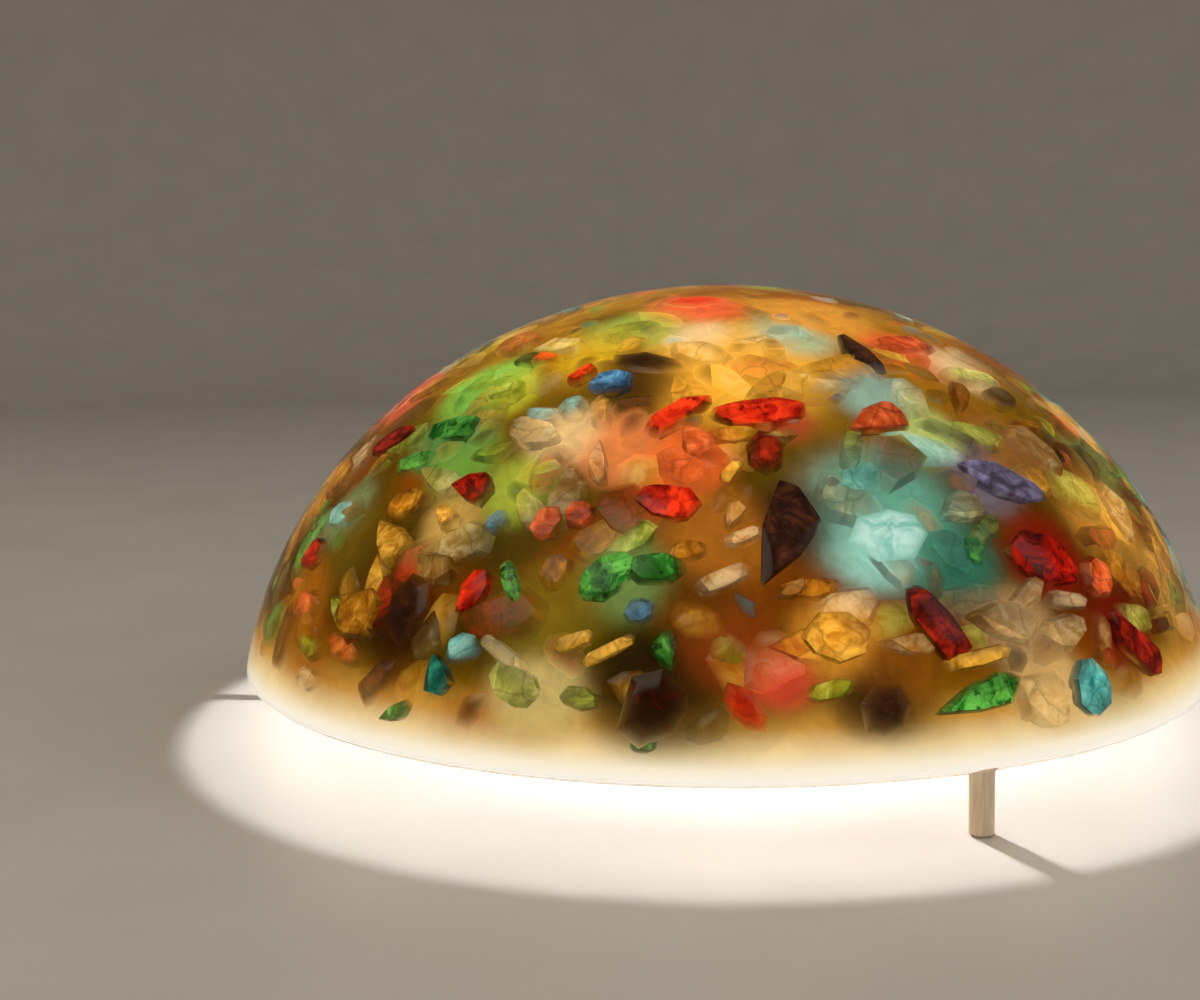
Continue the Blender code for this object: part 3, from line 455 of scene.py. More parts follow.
def chipGlass(name, look):  # broken sheet glass lit from behind, its light and shade painted in: bright faces, dark sides, glinting facets, bright middles and darker rims; with flaws and cracks
    sockets = {"Roughness": 0.18, "Specular IOR Level": 0.06}
    material, tree, shader, where = newMaterial(name + " glass, broken", sockets)
    given = {key: addNode(tree, "Attribute", {"attribute_name": key}).outputs
             for key in ("tone", "crisp", "veil", "haze", "inChip")}
    clouds = {"Scale": perSize(look["cloud"]), "Detail": 4.0, "Roughness": 0.62, "Distortion": 0.9}
    cloud = addNode(tree, "TexNoise", clouds, {"Vector": where})
    slope = {"operation": "MULTIPLY_ADD", 1: look["toneShift"], 2: -look["toneShift"] / 2}
    shift = addNode(tree, "Math", slope, {0: given["tone"]["Fac"]})
    value = addNode(tree, "Math", {"operation": "ADD"}, {0: cloud, 1: shift})
    tint = setRamp(addNode(tree, "ValToRGB", None, {"Fac": value}),
                   ((0.3, look["dark"]), (0.5, look["mid"]), (0.72, look["bright"])))
    # painted light and shade: faces that look out of the dome are painted bright, sides dark, and each
    # facet gets its own painted brightness, from shaded to glinting
    away = addNode(tree, "VectorMath", {"operation": "SUBTRACT", 1: (0, 0, centreZ)}, {0: where})
    bend = (outerRadius ** -2, outerRadius ** -2, outerHeight ** -2)
    scaled = addNode(tree, "VectorMath", {"operation": "MULTIPLY", 1: bend}, {0: away})
    outward = addNode(tree, "VectorMath", {"operation": "NORMALIZE"}, {0: scaled})
    normal = addNode(tree, "NewGeometry").outputs["Normal"]
    facing = addNode(tree, "VectorMath", {"operation": "DOT_PRODUCT"}, {0: normal, 1: outward})
    side = addNode(tree, "MapRange", span(0.4, 0.98, look["side"], look["face"]),
                   {"Value": facing.outputs["Value"]})
    facetGlint = addNode(tree, "TexNoise", {"Scale": 2.6, "Detail": 0.0}, {"Vector": normal})
    facet = addNode(tree, "MapRange", span(0.35, 0.65, *look["facet"]), {"Value": facetGlint})
    # flakes, cracks and specks
    flakes = addNode(tree, "TexVoronoi", {"Scale": perSize(look["flake"])}, {"Vector": where})
    lift = addNode(tree, "MapRange", span(0, 1, 1 - look["flakes"], 1 + look["flakes"]),
                   {"Value": flakes.outputs["Color"]})
    warp = addNode(tree, "TexNoise", {"Scale": perSize(look["crackBend"])}, {"Vector": where})
    bent = addNode(tree, "VectorMath", {"operation": "MULTIPLY_ADD", 1: (look["crackWander"] * mm,) * 3},
                   {0: warp.outputs["Color"], 2: where})
    cracks = addNode(tree, "TexVoronoi", {"feature": "DISTANCE_TO_EDGE", "Scale": perSize(look["crack"])},
                     {"Vector": bent})
    line = addNode(tree, "MapRange", span(0, look["crackWidth"], look["crackShade"], 1), {"Value": cracks})
    specks = addNode(tree, "TexNoise", {"Scale": perSize(look["speck"])}, {"Vector": where})
    speck = addNode(tree, "MapRange", span(0.6, 0.68, 1, look["speckShade"]), {"Value": specks})
    # a ragged edge that is lost in the milk, the more so the deeper the chip lies
    inChip = given["inChip"]["Vector"]
    blur = addNode(tree, "SeparateXYZ", None, {0: inChip}).outputs["Z"]
    across = addNode(tree, "VectorMath", {"operation": "MULTIPLY", 1: (1, 1, 0)}, {0: inChip})
    squares = addNode(tree, "VectorMath", {"operation": "MULTIPLY"}, {0: across, 1: across})
    fourths = addNode(tree, "VectorMath", {"operation": "DOT_PRODUCT"}, {0: squares, 1: squares})
    reach = addNode(tree, "Math", {"operation": "POWER", 1: 0.25}, {0: fourths.outputs["Value"]})
    milky = addNode(tree, "TexNoise", {"Scale": perSize(look["milk"]), "Detail": 3.0}, {"Vector": where})
    slope = {"operation": "MULTIPLY_ADD", 1: look["ragged"], 2: -look["ragged"] / 2}
    ragged = addNode(tree, "Math", slope, {0: milky})
    toEdge = addNode(tree, "Math", {"operation": "ADD"}, {0: reach, 1: ragged})
    slope = {"operation": "MULTIPLY_ADD", 1: -look["edgeBlur"], 2: look["edgeFrom"]}
    start = addNode(tree, "Math", slope, {0: blur})
    edge = addNode(tree, "MapRange", {"interpolation_type": "SMOOTHSTEP", "From Max": 1.0},
                   {"Value": toEdge, "From Min": start})
    # painted light: a bright middle and a darker rim, as glass lit from behind shows
    core = addNode(tree, "MapRange", span(0.3, 0.9, look["middle"], look["edgeShade"]), {"Value": toEdge})
    # painted light and shade (side, facet, core) times the flaws (flakes, cracks, specks)
    light = side
    for share in (facet, lift, line, speck, core):
        light = addNode(tree, "Math", {"operation": "MULTIPLY"}, {0: light, 1: share})
    light = addNode(tree, "Mix", {"data_type": "FLOAT", 2: look["softLight"]},
                    {0: given["crisp"]["Fac"], 3: light})
    lit = addNode(tree, "VectorMath", {"operation": "SCALE"}, {0: tint, "Scale": light})
    # the milk over a chip takes the painted light and shade too
    gain, least = look["milkShade"]
    shade = addNode(tree, "Math", {"operation": "MULTIPLY_ADD", 1: gain, 2: least}, {0: light})
    fading = addNode(tree, "Mix", {"data_type": "FLOAT", 3: 1.0}, {0: edge, 2: shade})
    milk = addNode(tree, "VectorMath", {"operation": "SCALE"}, {0: given["haze"]["Color"], "Scale": fading})
    hidden = addNode(tree, "Mix", {"data_type": "FLOAT", 3: 1.0}, {0: edge, 2: given["veil"]["Fac"]})
    seen = addNode(tree, "Mix", {"data_type": "RGBA"}, {0: hidden, 6: lit, 7: milk})
    glowingColour(tree, shader, seen.outputs[2])
    return material


# glass chips: their shapes and places

chipCuts = {  # outlines, anticlockwise, from -1 to 1 along and across
    "slab": ((0.95, -0.15), (1, 0.6), (0.45, 1), (-0.55, 0.75), (-1, 0.3), (-0.45, -0.8), (0.15, -1)),
    "block": ((0.7, -0.8), (1, 0.15), (0.55, 0.95), (-0.8, 0.8), (-1, -0.05), (-0.35, -0.85), (0.3, -1)),
    "shard": ((0.35, -1), (0.95, -0.2), (1, 0.35), (0.1, 0.6), (-1, 0.35), (-0.3, -0.55)),
    "rod": ((0.8, -0.7), (1, 0.1), (0.75, 0.8), (-0.7, 0.9), (-1, 0.2), (-0.85, -0.75), (0, -1)),
    "drop": ((0.4, -0.95), (1, -0.2), (0.9, 0.55), (0.3, 0.95), (-0.55, 0.85), (-1, 0.1), (-0.5, -0.8)),
    "wedge": ((0.6, -0.9), (1, 0.2), (0.55, 1), (-0.2, 0.85), (-1, 0.2), (-0.1, -0.6)),
    "lump": ((0.9, -0.4), (0.95, 0.5), (0.2, 1), (-0.6, 0.75), (-1, -0.3), (-0.55, -0.85), (0.2, -1)),
}
smallChips = (  # glass, cut, azimuth, rise, length, width, turn, depth below the skin; sizes in mm
    ("ruby", "rod", -96, 41.4, 18, 6.5, 45, 0.7), ("garnet", "lump", -83.5, 35.9, 12, 8.5, 80, 1.0),
    ("coral", "block", -95, 34, 15, 10, -35, 2.2), ("coral", "wedge", -93.5, 37.6, 10, 8, -50, 1.4),
    ("emerald", "drop", -96.8, 22, 13, 7.5, 5, 0.8), ("cobalt", "lump", -98.1, 17.7, 7, 6, 0, 1.6),
    ("clear", "wedge", -59.9, 14.7, 20, 10, -8, 0.8), ("emerald", "wedge", -64.4, 7.5, 22, 7.5, 14, 0.6),
    ("clear", "block", -56.7, 6.3, 16, 13, 0, 1.5), ("coral", "lump", -43.4, 17.7, 11, 10, 0, 0.8),
    ("turquoise", "drop", -71.5, 32, 13, 9, 20, 2.2), ("teal", "lump", -63, 23, 14, 10, -60, 2.4),
    ("aqua", "slab", -61, 35.5, 20, 10, -30, 3.0), ("coral", "slab", -42, 52.5, 22, 9, -10, 1.2),
    ("smoke", "lump", -34, 41.5, 12, 9, 0, 1.6), ("smoke", "shard", -27, 30, 15, 10, 60, 1.6),
    ("lime", "slab", -50, 36.5, 18, 9, -25, 1.8), ("lime", "rod", -35, 45.5, 22, 7, -12, 1.6),
    ("emerald", "lump", -97, 4.4, 6, 4, 0, 1.4), ("amber", "rod", -88.2, 33.2, 7, 3.2, 55, 0.8),
    ("clear", "rod", -87.3, 25.4, 9, 3.6, 22, 0.9), ("clear", "wedge", -88, 28, 8, 5, 70, 1.3),
    ("aqua", "drop", -72, 57, 16, 10, 10, 2.6), ("lime", "drop", -115, 58.5, 16, 10, 30, 2.2),
    ("coral", "drop", -106.6, 27.8, 7.5, 7, 0, 0.9), ("cobalt", "lump", -117.5, 26.6, 7, 6, 40, 2.0),
    ("lime", "lump", -139, 45.8, 20, 11, 10, 2.4), ("emerald", "rod", -137.5, 32.8, 15, 7, 15, 1.2),
    ("lime", "drop", -130.5, 44.5, 11, 9, 30, 1.2), ("cobalt", "lump", -109.5, 46.6, 11, 8, 10, 0.9),
    ("ruby", "rod", -116.5, 48, 8, 5, 60, 0.9), ("smoke", "lump", -103.5, 43, 11, 7, 10, 1.4),
    ("aqua", "slab", -119, 41, 12, 7, -10, 2.2), ("clear", "shard", -106, 34.5, 13, 6, -70, 1.0),
    ("clear", "slab", -123.5, 20.4, 14, 8.5, -14, 0.8), ("smoke", "rod", -127.5, 7.6, 14, 7, 48, 1.6),
    ("emerald", "shard", -124, 4.8, 10, 5, 35, 1.0), ("turquoise", "lump", -117, 12.6, 10, 7, 20, 1.8),
    ("lime", "lump", -103.4, 8.6, 9, 5, -10, 1.0), ("amber", "rod", -104.5, 14.1, 9, 4, 20, 0.6),
    ("amber", "rod", -100.8, 13.4, 12, 3, 30, 0.6), ("amber", "wedge", -125.5, 26.6, 9, 6, -30, 1.0),
    ("amber", "drop", -133.8, 27.4, 15, 9, 25, 1.4), ("amber", "lump", -108, 21.4, 9, 7, 60, 1.4),
    ("emerald", "rod", -112.8, 19.8, 11, 4, -60, 1.0), ("ruby", "lump", -150, 19, 11, 9, 10, 1.0),
    ("aqua", "drop", -148.5, 24.6, 14, 9, 10, 2.0), ("coral", "lump", -146, 13.5, 13, 8, 0, 2.0),
    ("lime", "slab", -141.5, 9, 14, 7, 0, 2.2), ("clear", "drop", -140, 5.6, 12, 6, 0, 1.8),
    ("clear", "slab", -52, 12.8, 15, 8, 0, 1.2), ("clear", "rod", -49.8, 16, 12, 4.5, -12, 1.2),
    ("amber", "rod", -63.8, 11.6, 17, 4, 6, 1.0), ("clear", "wedge", -59.5, 27.4, 13, 9, 20, 1.0),
    ("emerald", "lump", -60.5, 22.6, 7, 5, 80, 1.2), ("lime", "lump", -79.5, 9.6, 11, 4.5, 8, 1.4),
    ("clear", "shard", -82.5, 19.6, 8, 4, 35, 0.9), ("amber", "slab", -80.5, 19.8, 15, 5, 0, 1.6),
    ("clear", "rod", -89.5, 21, 13, 5, 25, 1.4), ("amber", "lump", -93.5, 24, 9, 5, 10, 1.5),
    ("emerald", "wedge", -95.4, 13.6, 6, 10, 0, 1.6), ("clear", "rod", -112, 12.4, 14, 4, -28, 1.2),
    ("garnet", "lump", -33, 15, 16, 12, -10, 2.0), ("smoke", "rod", -33.5, 10.6, 8, 4, 0, 1.4),
    ("smoke", "lump", -134.5, 50.5, 8, 6, 20, 1.2), ("ruby", "rod", -129.5, 51, 9, 5, 5, 1.4),
    ("turquoise", "lump", -114.5, 42.5, 8, 7, 40, 1.8), ("clear", "shard", -81.5, 37.8, 9, 4, 10, 0.8),
)
chipForm = {
    "thickness": 6.5 * mm, "slimThickness": (0.75, 1.5 * mm), "growth": 1.18, "mouth": 0.76, "girdle": 0.35,
    "foot": 0.6, "least": 0.4 * mm, "bevel": 0.32 * mm, "cuts": (3, 5), "shave": (0.02, 0.09),
    "tilt": (18, 55), "even": 4, "sharp": 22, "tones": (0.3, 0.8), "cadTones": (0.35, 0.75), "rodHighlightTone": 0.9,
    "clearDepth": 0.6, "veilDepth": 3.4, "veilMost": 0.82, "veilFade": 6, "veilSide": 0.6,
    "blurDepth": (0.4, 2.2), "seed": 23,
}
softForm = {  # chips deep in the milk
    "rings": (0.4, 0.7, 0.88, 1), "crown": 0.4, "keel": 0.6, "from": 2.7, "cadLift": 1.5,
    "cad": {"thick": 5 * mm, "hardness": 3.4, "veil": 0.12},
    "hand": {"thick": 3 * mm, "hardness": 2.4, "veil": 0.2}, "scatter": {"thick": 0.22, "hardness": 1.6},
}
frontChips = {  # between the ones given one by one
    "count": 80, "apart": 6.5, "around": (-164, -16), "height": (0.3, 0.9), "veil": 0.5, "length": (11, 23),
    "slim": (0.35, 0.75), "depth": (1.4, 2.6), "seed": 57,
    "glasses": {"clear": 6, "amber": 6, "lime": 2, "emerald": 1, "smoke": 2, "garnet": 1.5, "coral": 1},
}
backChips = {  # on the side that the photograph doesn't show
    "count": 120, "apart": 9, "around": (-14, 194), "height": (0.23, 0.985), "veil": 0, "length": (8, 21),
    "slim": (0.42, 0.8), "depth": (0.6, 2.8), "seed": 41,
    "glasses": {"ruby": 5, "garnet": 3, "coral": 3, "amber": 5, "lime": 5, "emerald": 4, "teal": 2,
                "turquoise": 3, "aqua": 3, "violet": 1, "cobalt": 2, "clear": 5, "smoke": 3},
}
deepChips = ("garnet_chip_14", "smoke_chip_13", "smoke_chip_19", "ruby_chip_15", "aqua_chip_09",
             "smoke_chip_24", "ruby_chip_27")
chipTones = {"garnet_chip_14": 0.0, "ruby_chip_27": 1.0, "ruby_chip_17": 0.15, "ruby_chip_08": 0.3,
             "aqua_chip_09": 0.8, "ruby_chip_02": 0.75, "ruby_chip_01": 0.7}


def softChip(outline, place, thick, hardness):  # a chip deep in milky resin: a lens whose edge fades
    crown, sides = thick * softForm["crown"], len(outline)
    verts, fade, faces = [place @ Vector((0, 0, crown))], [0], []
    for share in softForm["rings"]:
        verts += [place @ Vector((x * share, y * share, crown * (1 - share ** 2))) for x, y in outline]
        fade += [share ** hardness] * sides
    verts.append(place @ Vector((0, 0, -thick * softForm["keel"])))
    fade.append(1)
    rings = [range(1 + sides * k, 1 + sides * (k + 1)) for k in range(len(softForm["rings"]))]
    for k in range(sides):
        after = (k + 1) % sides
        faces.append((0, rings[0][k], rings[0][after]))
        for inner, outer in zip(rings, rings[1:]):
            faces.append((inner[k], outer[k], outer[after], inner[after]))
        faces.append((rings[-1][after], rings[-1][k], len(verts) - 1))
    return verts, faces, np.array(fade)


def softSet(outline, place, kind, tone):
    look = softForm[kind]
    verts, faces, fade = softChip(outline, place, look["thick"], look["hardness"])
    return verts, faces, look["veil"] + (1 - look["veil"]) * fade, tone, 0, np.zeros((len(verts), 3))


def hullForm(points):
    form = bmesh.new()
    for point in points:
        form.verts.new(point)
    result = bmesh.ops.convex_hull(form, input=form.verts)
    inside = result["geom_interior"] + result["geom_unused"]
    spare = {v for v in inside if isinstance(v, bmesh.types.BMVert)}
    bmesh.ops.delete(form, geom=list(spare), context="VERTS")
    return form


def shaveForm(form, way, share):  # cuts off the end that points this way
    reach = [v.co.dot(way) for v in form.verts]
    level = max(reach) - share * (max(reach) - min(reach))
    everything = form.verts[:] + form.edges[:] + form.faces[:]
    bmesh.ops.bisect_plane(form, geom=everything, plane_co=way * level, plane_no=way, clear_outer=True)
    bmesh.ops.holes_fill(form, edges=[e for e in form.edges if e.is_boundary], sides=0)


def brokenChip(points, outward, rng):  # a convex solid with a few broken faces and worn edges
    form = hullForm(points)
    side = outward.orthogonal().normalized()
    for k in range(rng.randint(*chipForm["cuts"])):
        lean = Matrix.Rotation(math.radians(rng.uniform(*chipForm["tilt"])), 3, side)
        spin = Matrix.Rotation(rng.uniform(0, 2 * math.pi), 3, outward)
        shaveForm(form, spin @ (lean @ outward), rng.uniform(*chipForm["shave"]))
    limit = math.radians(chipForm["even"])
    bmesh.ops.dissolve_limit(form, angle_limit=limit, verts=form.verts, edges=form.edges)
    bmesh.ops.bevel(form, geom=form.edges[:], offset=chipForm["bevel"], segments=2, profile=0.6,
                    affect="EDGES", clamp_overlap=True)
    bmesh.ops.recalc_face_normals(form, faces=form.faces)
    form.verts.index_update()
    verts = [v.co.copy() for v in form.verts]
    faces = [tuple(v.index for v in face.verts) for face in form.faces]
    form.free()
    return verts, faces


def crispVeil(verts):  # how far the resin over a chip hides it
    depth = depthBelowSkin(verts) / mm
    top = np.clip((depth.min() - chipForm["clearDepth"]) / chipForm["veilDepth"], 0, chipForm["veilMost"])
    return top + np.clip((depth - depth.min()) / chipForm["veilFade"], 0, chipForm["veilSide"]) * (1 - top)


def chipBlur(depth):  # depth in mm: 0 is a crisp edge, 1 one that is lost in the milky resin
    shallow, deep = chipForm["blurDepth"]
    return min(1, max(0, (depth - shallow) / (deep - shallow)))


def cadSpread(verts, middle, outward):  # places across a chip, -1 to 1 along its main axes, and its blur
    points = np.array([tuple(v - middle) for v in verts])
    normal = np.array(outward)
    flat = points - np.outer(points @ normal, normal)
    across = flat @ np.linalg.eigh(flat.T @ flat)[1][:, 1:]
    depth = depthBelowSkin([tuple(v) for v in verts]).min() / mm
    return np.c_[across / np.abs(across).max(0), np.full(len(verts), chipBlur(depth))]


def cadChip(name, rng):  # verts, faces, veil, tone, crisp or soft, and places across the chip
    points = [v.co.copy() for v in cadNodes[name].data.vertices]
    middle = sum(points, Vector()) / len(points)
    flat, tall = outerRadius ** 2, outerHeight ** 2
    outward = Vector((middle.x / flat, middle.y / flat, (middle.z - centreZ) / tall))
    outward.normalize()
    tone = chipTones.get(name, rng.uniform(*chipForm["cadTones"]))
    if name not in deepChips:
        verts, faces = brokenChip(points, outward, rng)
        return verts, faces, crispVeil(verts), tone, 1, cadSpread(verts, middle, outward)
    along = Vector((-outward.y, outward.x, 0)).normalized()
    axes = Matrix((along, outward.cross(along), outward)).transposed()
    corners = [(axes.transposed() @ (point - middle)).xy for point in points]
    outline = [corners[k] for k in geometry.convex_hull_2d(corners)]
    place = Matrix.Translation(middle + outward * softForm["cadLift"] * mm) @ axes.to_4x4()
    return softSet(outline, place, "cad", tone)


def handChip(cutName, azimuth, rise, length, width, turn, depth, rng, leastVeil=0):  # gives the same
    place = domeFrame(azimuth, rise, turn, depth * mm)
    length, width = length * chipForm["growth"], width * chipForm["growth"]
    share, spare = chipForm["slimThickness"]
    thick = min(chipForm["thickness"], share * width * mm + spare)
    outline = [(along * length / 2 * mm, across * width / 2 * mm) for along, across in chipCuts[cutName]]
    # rods take a high tone: a painted highlight, as slivers that catch the lamp
    tone = chipForm["rodHighlightTone"] if cutName == "rod" else rng.uniform(*chipForm["tones"])
    if depth >= softForm["from"]:
        return softSet(outline, place, "hand", tone)
    points = []
    girdle = (1, -chipForm["girdle"] * thick)
    for share, height in ((chipForm["mouth"], 0), girdle, (chipForm["foot"], -thick)):
        points += [place @ Vector((x * share, y * share, height)) for x, y in outline]
    verts, faces = brokenChip(points, place.to_3x3().col[2].normalized(), rng)
    toChip = place.inverted()
    local = [toChip @ v for v in verts]
    spread = [(p.x / (length / 2 * mm), p.y / (width / 2 * mm), chipBlur(depth)) for p in local]
    return verts, faces, np.maximum(crispVeil(verts), leastVeil), tone, 1, np.array(spread)


def chipPlaces():
    everyChip = [chip for chips in heroes.values() for chip in chips]
    return np.array([np.mean([tuple(v) for v in chip[0]], 0) for chip in everyChip])


def nearestChip(points, places):  # mm along the dome to the nearest of these places
    return np.arccos(np.clip(domeWays(points) @ domeWays(places).T, -1, 1)).min(1) * meanRadius / mm


def fillChips(fill):
    rng = random.Random(fill["seed"])
    taken = list(chipPlaces())
    made = 0
    while made < fill["count"]:
        azimuth = rng.uniform(*fill["around"])
        rise = math.degrees(math.asin(rng.uniform(*fill["height"])) - rimLatitude)
        spot = np.array(domeFrame(azimuth, rise, 0, 0).translation)
        if nearestChip([spot], taken)[0] < fill["apart"]:
            continue
        glass = rng.choices(list(fill["glasses"]), fill["glasses"].values())[0]
        length = rng.uniform(*fill["length"])
        place = (azimuth, rise, length, length * rng.uniform(*fill["slim"]), rng.uniform(-90, 90))
        cutName, depth = rng.choice(list(chipCuts)), rng.uniform(*fill["depth"])
        heroes[glass].append(handChip(cutName, *place, depth, rng, fill["veil"]))
        taken.append(spot)
        made += 1


chipRng = random.Random(chipForm["seed"])
heroes = {glass: [] for glass in glassLooks}
for name in sorted(n for n in cadNodes if "_chip_" in n):
    heroes[name.split("_")[0]].append(cadChip(name, chipRng))
for glass, *place in smallChips:
    heroes[glass].append(handChip(*place, chipRng))
fillChips(frontChips)
fillChips(backChips)
heroPlaces = chipPlaces()
print("chips placed:", len(heroPlaces))


# glass chips: soft ones deep between them, scattered by Geometry Nodes on a carrier inside the dome

scatterLooks = {  # spacing, least and most size in mm, least veil, and the share kept at the front
    "clear": (16, 12, 22, 0.75, 0.3), "amber": (15, 10, 21, 0.55, 0.4), "lime": (19, 10, 19, 0.5, 0.3),
    "emerald": (24, 8, 16, 0.45, 0.25), "aqua": (27, 8, 16, 0.5, 0.2), "coral": (28, 8, 15, 0.45, 0.2),
    "ruby": (30, 6, 12, 0.35, 0.15), "garnet": (28, 8, 16, 0.4, 0.25), "turquoise": (30, 8, 15, 0.45, 0.2),
    "teal": (34, 8, 15, 0.45, 0.2), "violet": (44, 6, 12, 0.45, 0.2), "cobalt": (40, 5, 10, 0.4, 0.2),
    "smoke": (26, 8, 18, 0.35, 0.4),
}
scatterForm = {
    "shapes": 8, "sides": 8, "slim": (0.5, 0.85), "uneven": (-0.3, 0.3), "reach": (0.72, 1.05),
    "depth": 3.4 * mm, "float": -1.1 * mm, "sink": 1.1 * mm, "tilt": 0.22, "clearance": 5, "roomFade": 3,
    "leastRoom": 0.2, "frontHalf": 80, "frontFade": 14, "lowestRise": 6, "rings": 44, "around": 120,
    "dim": 0.7, "lift": 0.6,
}


def chunkShapes(rng):  # a few deep chips, one unit long, for the scatter
    shelf = bpy.data.collections.new("glass chunks")
    for k in range(scatterForm["shapes"]):
        slim, sides = rng.uniform(*scatterForm["slim"]), scatterForm["sides"]
        outline = []
        for corner in range(sides):
            turn = 2 * math.pi * (corner + rng.uniform(*scatterForm["uneven"])) / sides
            reach = 0.5 * rng.uniform(*scatterForm["reach"])
            outline.append((reach * math.cos(turn), reach * slim * math.sin(turn)))
        verts, faces, fade = softChip(outline, Matrix(), **softForm["scatter"])
        chunk = newPiece(f"glass chunk {k}", (verts, faces), carrierGlass)
        setAttribute(chunk, "fade", "FLOAT", fade)
        bpy.context.collection.objects.unlink(chunk)
        shelf.objects.link(chunk)
    return shelf


def scatterTree(shelf):
    tree = bpy.data.node_groups.new("glass chips in resin", "GeometryNodeTree")
    sockets = {}
    kinds = {"Carrier": "Geometry", "Spacing": "Float", "Seed": "Int", "Least size": "Float",
             "Most size": "Float", "Float": "Float", "Sink": "Float", "Glass": "Material"}
    for name, kind in kinds.items():
        item = tree.interface.new_socket(name, in_out="INPUT", socket_type="NodeSocket" + kind)
        sockets[name] = item.identifier
    tree.interface.new_socket("Chips", in_out="OUTPUT", socket_type="NodeSocketGeometry")
    given = addNode(tree, "NodeGroupInput").outputs
    seed = {"Seed": given["Seed"]}
    room = addNode(tree, "InputNamedAttribute", {"data_type": "FLOAT", "Name": "room"})
    spread = addNode(tree, "DistributePointsOnFaces", {"distribute_method": "POISSON", "Density Max": 1e6},
                     {"Mesh": given["Carrier"], "Distance Min": given["Spacing"],
                      "Density Factor": room.outputs["Attribute"], **seed})
    level = addNode(tree, "RandomValue", {"data_type": "FLOAT"},
                    {2: given["Float"], 3: given["Sink"], **seed})
    flip = addNode(tree, "Math", {"operation": "MULTIPLY", 1: -1.0}, {0: level.outputs[1]})
    offset = addNode(tree, "VectorMath", {"operation": "SCALE"},
                     {0: spread.outputs["Normal"], "Scale": flip})
    sunk = addNode(tree, "SetPosition", None, {"Geometry": spread, "Offset": offset})
    shapes = addNode(tree, "CollectionInfo", {"Collection": shelf, "Separate Children": True,
                                              "Reset Children": True})
    size = addNode(tree, "RandomValue", {"data_type": "FLOAT"},
                   {2: given["Least size"], 3: given["Most size"], **seed})
    pick = addNode(tree, "RandomValue", {"data_type": "INT", 4: 0, 5: scatterForm["shapes"] - 1}, seed)
    placed = addNode(tree, "InstanceOnPoints", {"Pick Instance": True},
                     {"Points": sunk, "Instance": shapes, "Instance Index": pick.outputs[2],
                      "Rotation": spread.outputs["Rotation"], "Scale": size.outputs[1]})
    lean = scatterForm["tilt"]
    tilt = addNode(tree, "RandomValue", {"data_type": "FLOAT_VECTOR", 0: (-lean, -lean, -math.pi),
                                         1: (lean, lean, math.pi)}, seed)
    turned = addNode(tree, "RotateInstances", None, {"Instances": placed, "Rotation": tilt})
    tone = addNode(tree, "RandomValue", {"data_type": "FLOAT"}, seed)
    toned = addNode(tree, "StoreNamedAttribute",
                    {"data_type": "FLOAT", "domain": "INSTANCE", "Name": "tone"},
                    {"Geometry": turned, "Value": tone.outputs[1]})
    real = addNode(tree, "RealizeInstances", None, {"Geometry": toned})
    painted = addNode(tree, "SetMaterial", None, {"Geometry": real, "Material": given["Glass"]})
    addNode(tree, "NodeGroupOutput", None, {"Chips": painted})
    return tree, sockets


def carrierMesh():
    low, rings = rimLatitude + math.radians(scatterForm["lowestRise"]), scatterForm["rings"]
    depth = scatterForm["depth"]
    profile = ellipsePoints(outerRadius - depth, outerHeight - depth, math.pi / 2, low, rings)
    profile[0] = (0, profile[0][1])
    return revolve(profile, scatterForm["around"])


def scatterChips(glass, seed, material):
    spacing, least, most, veil, frontShare = scatterLooks[glass]
    room = 1 - carrierFront * (1 - frontShare)
    carrier.data.attributes["room"].data.foreach_set("value", (room * carrierRoom).astype(np.float32))
    modifier = carrier.modifiers.new("scatter", "NODES")
    modifier.node_group = tree
    values = {"Spacing": spacing * mm, "Seed": seed, "Least size": least * mm, "Most size": most * mm,
              "Float": scatterForm["float"], "Sink": scatterForm["sink"], "Glass": material}
    for name, value in values.items():
        modifier[sockets[name]] = value
    carrier.update_tag()
    graph = bpy.context.evaluated_depsgraph_get()
    graph.update()
    mesh = bpy.data.meshes.new_from_object(carrier.evaluated_get(graph))
    carrier.modifiers.remove(modifier)
    verts = [v.co.copy() for v in mesh.vertices]
    faces = [tuple(face.vertices) for face in mesh.polygons]
    tones, fade = np.zeros(len(verts), np.float32), np.zeros(len(verts), np.float32)
    mesh.attributes["tone"].data.foreach_get("value", tones)
    mesh.attributes["fade"].data.foreach_get("value", fade)
    bpy.data.meshes.remove(mesh)
    return verts, faces, tones, veil + (1 - veil) * fade


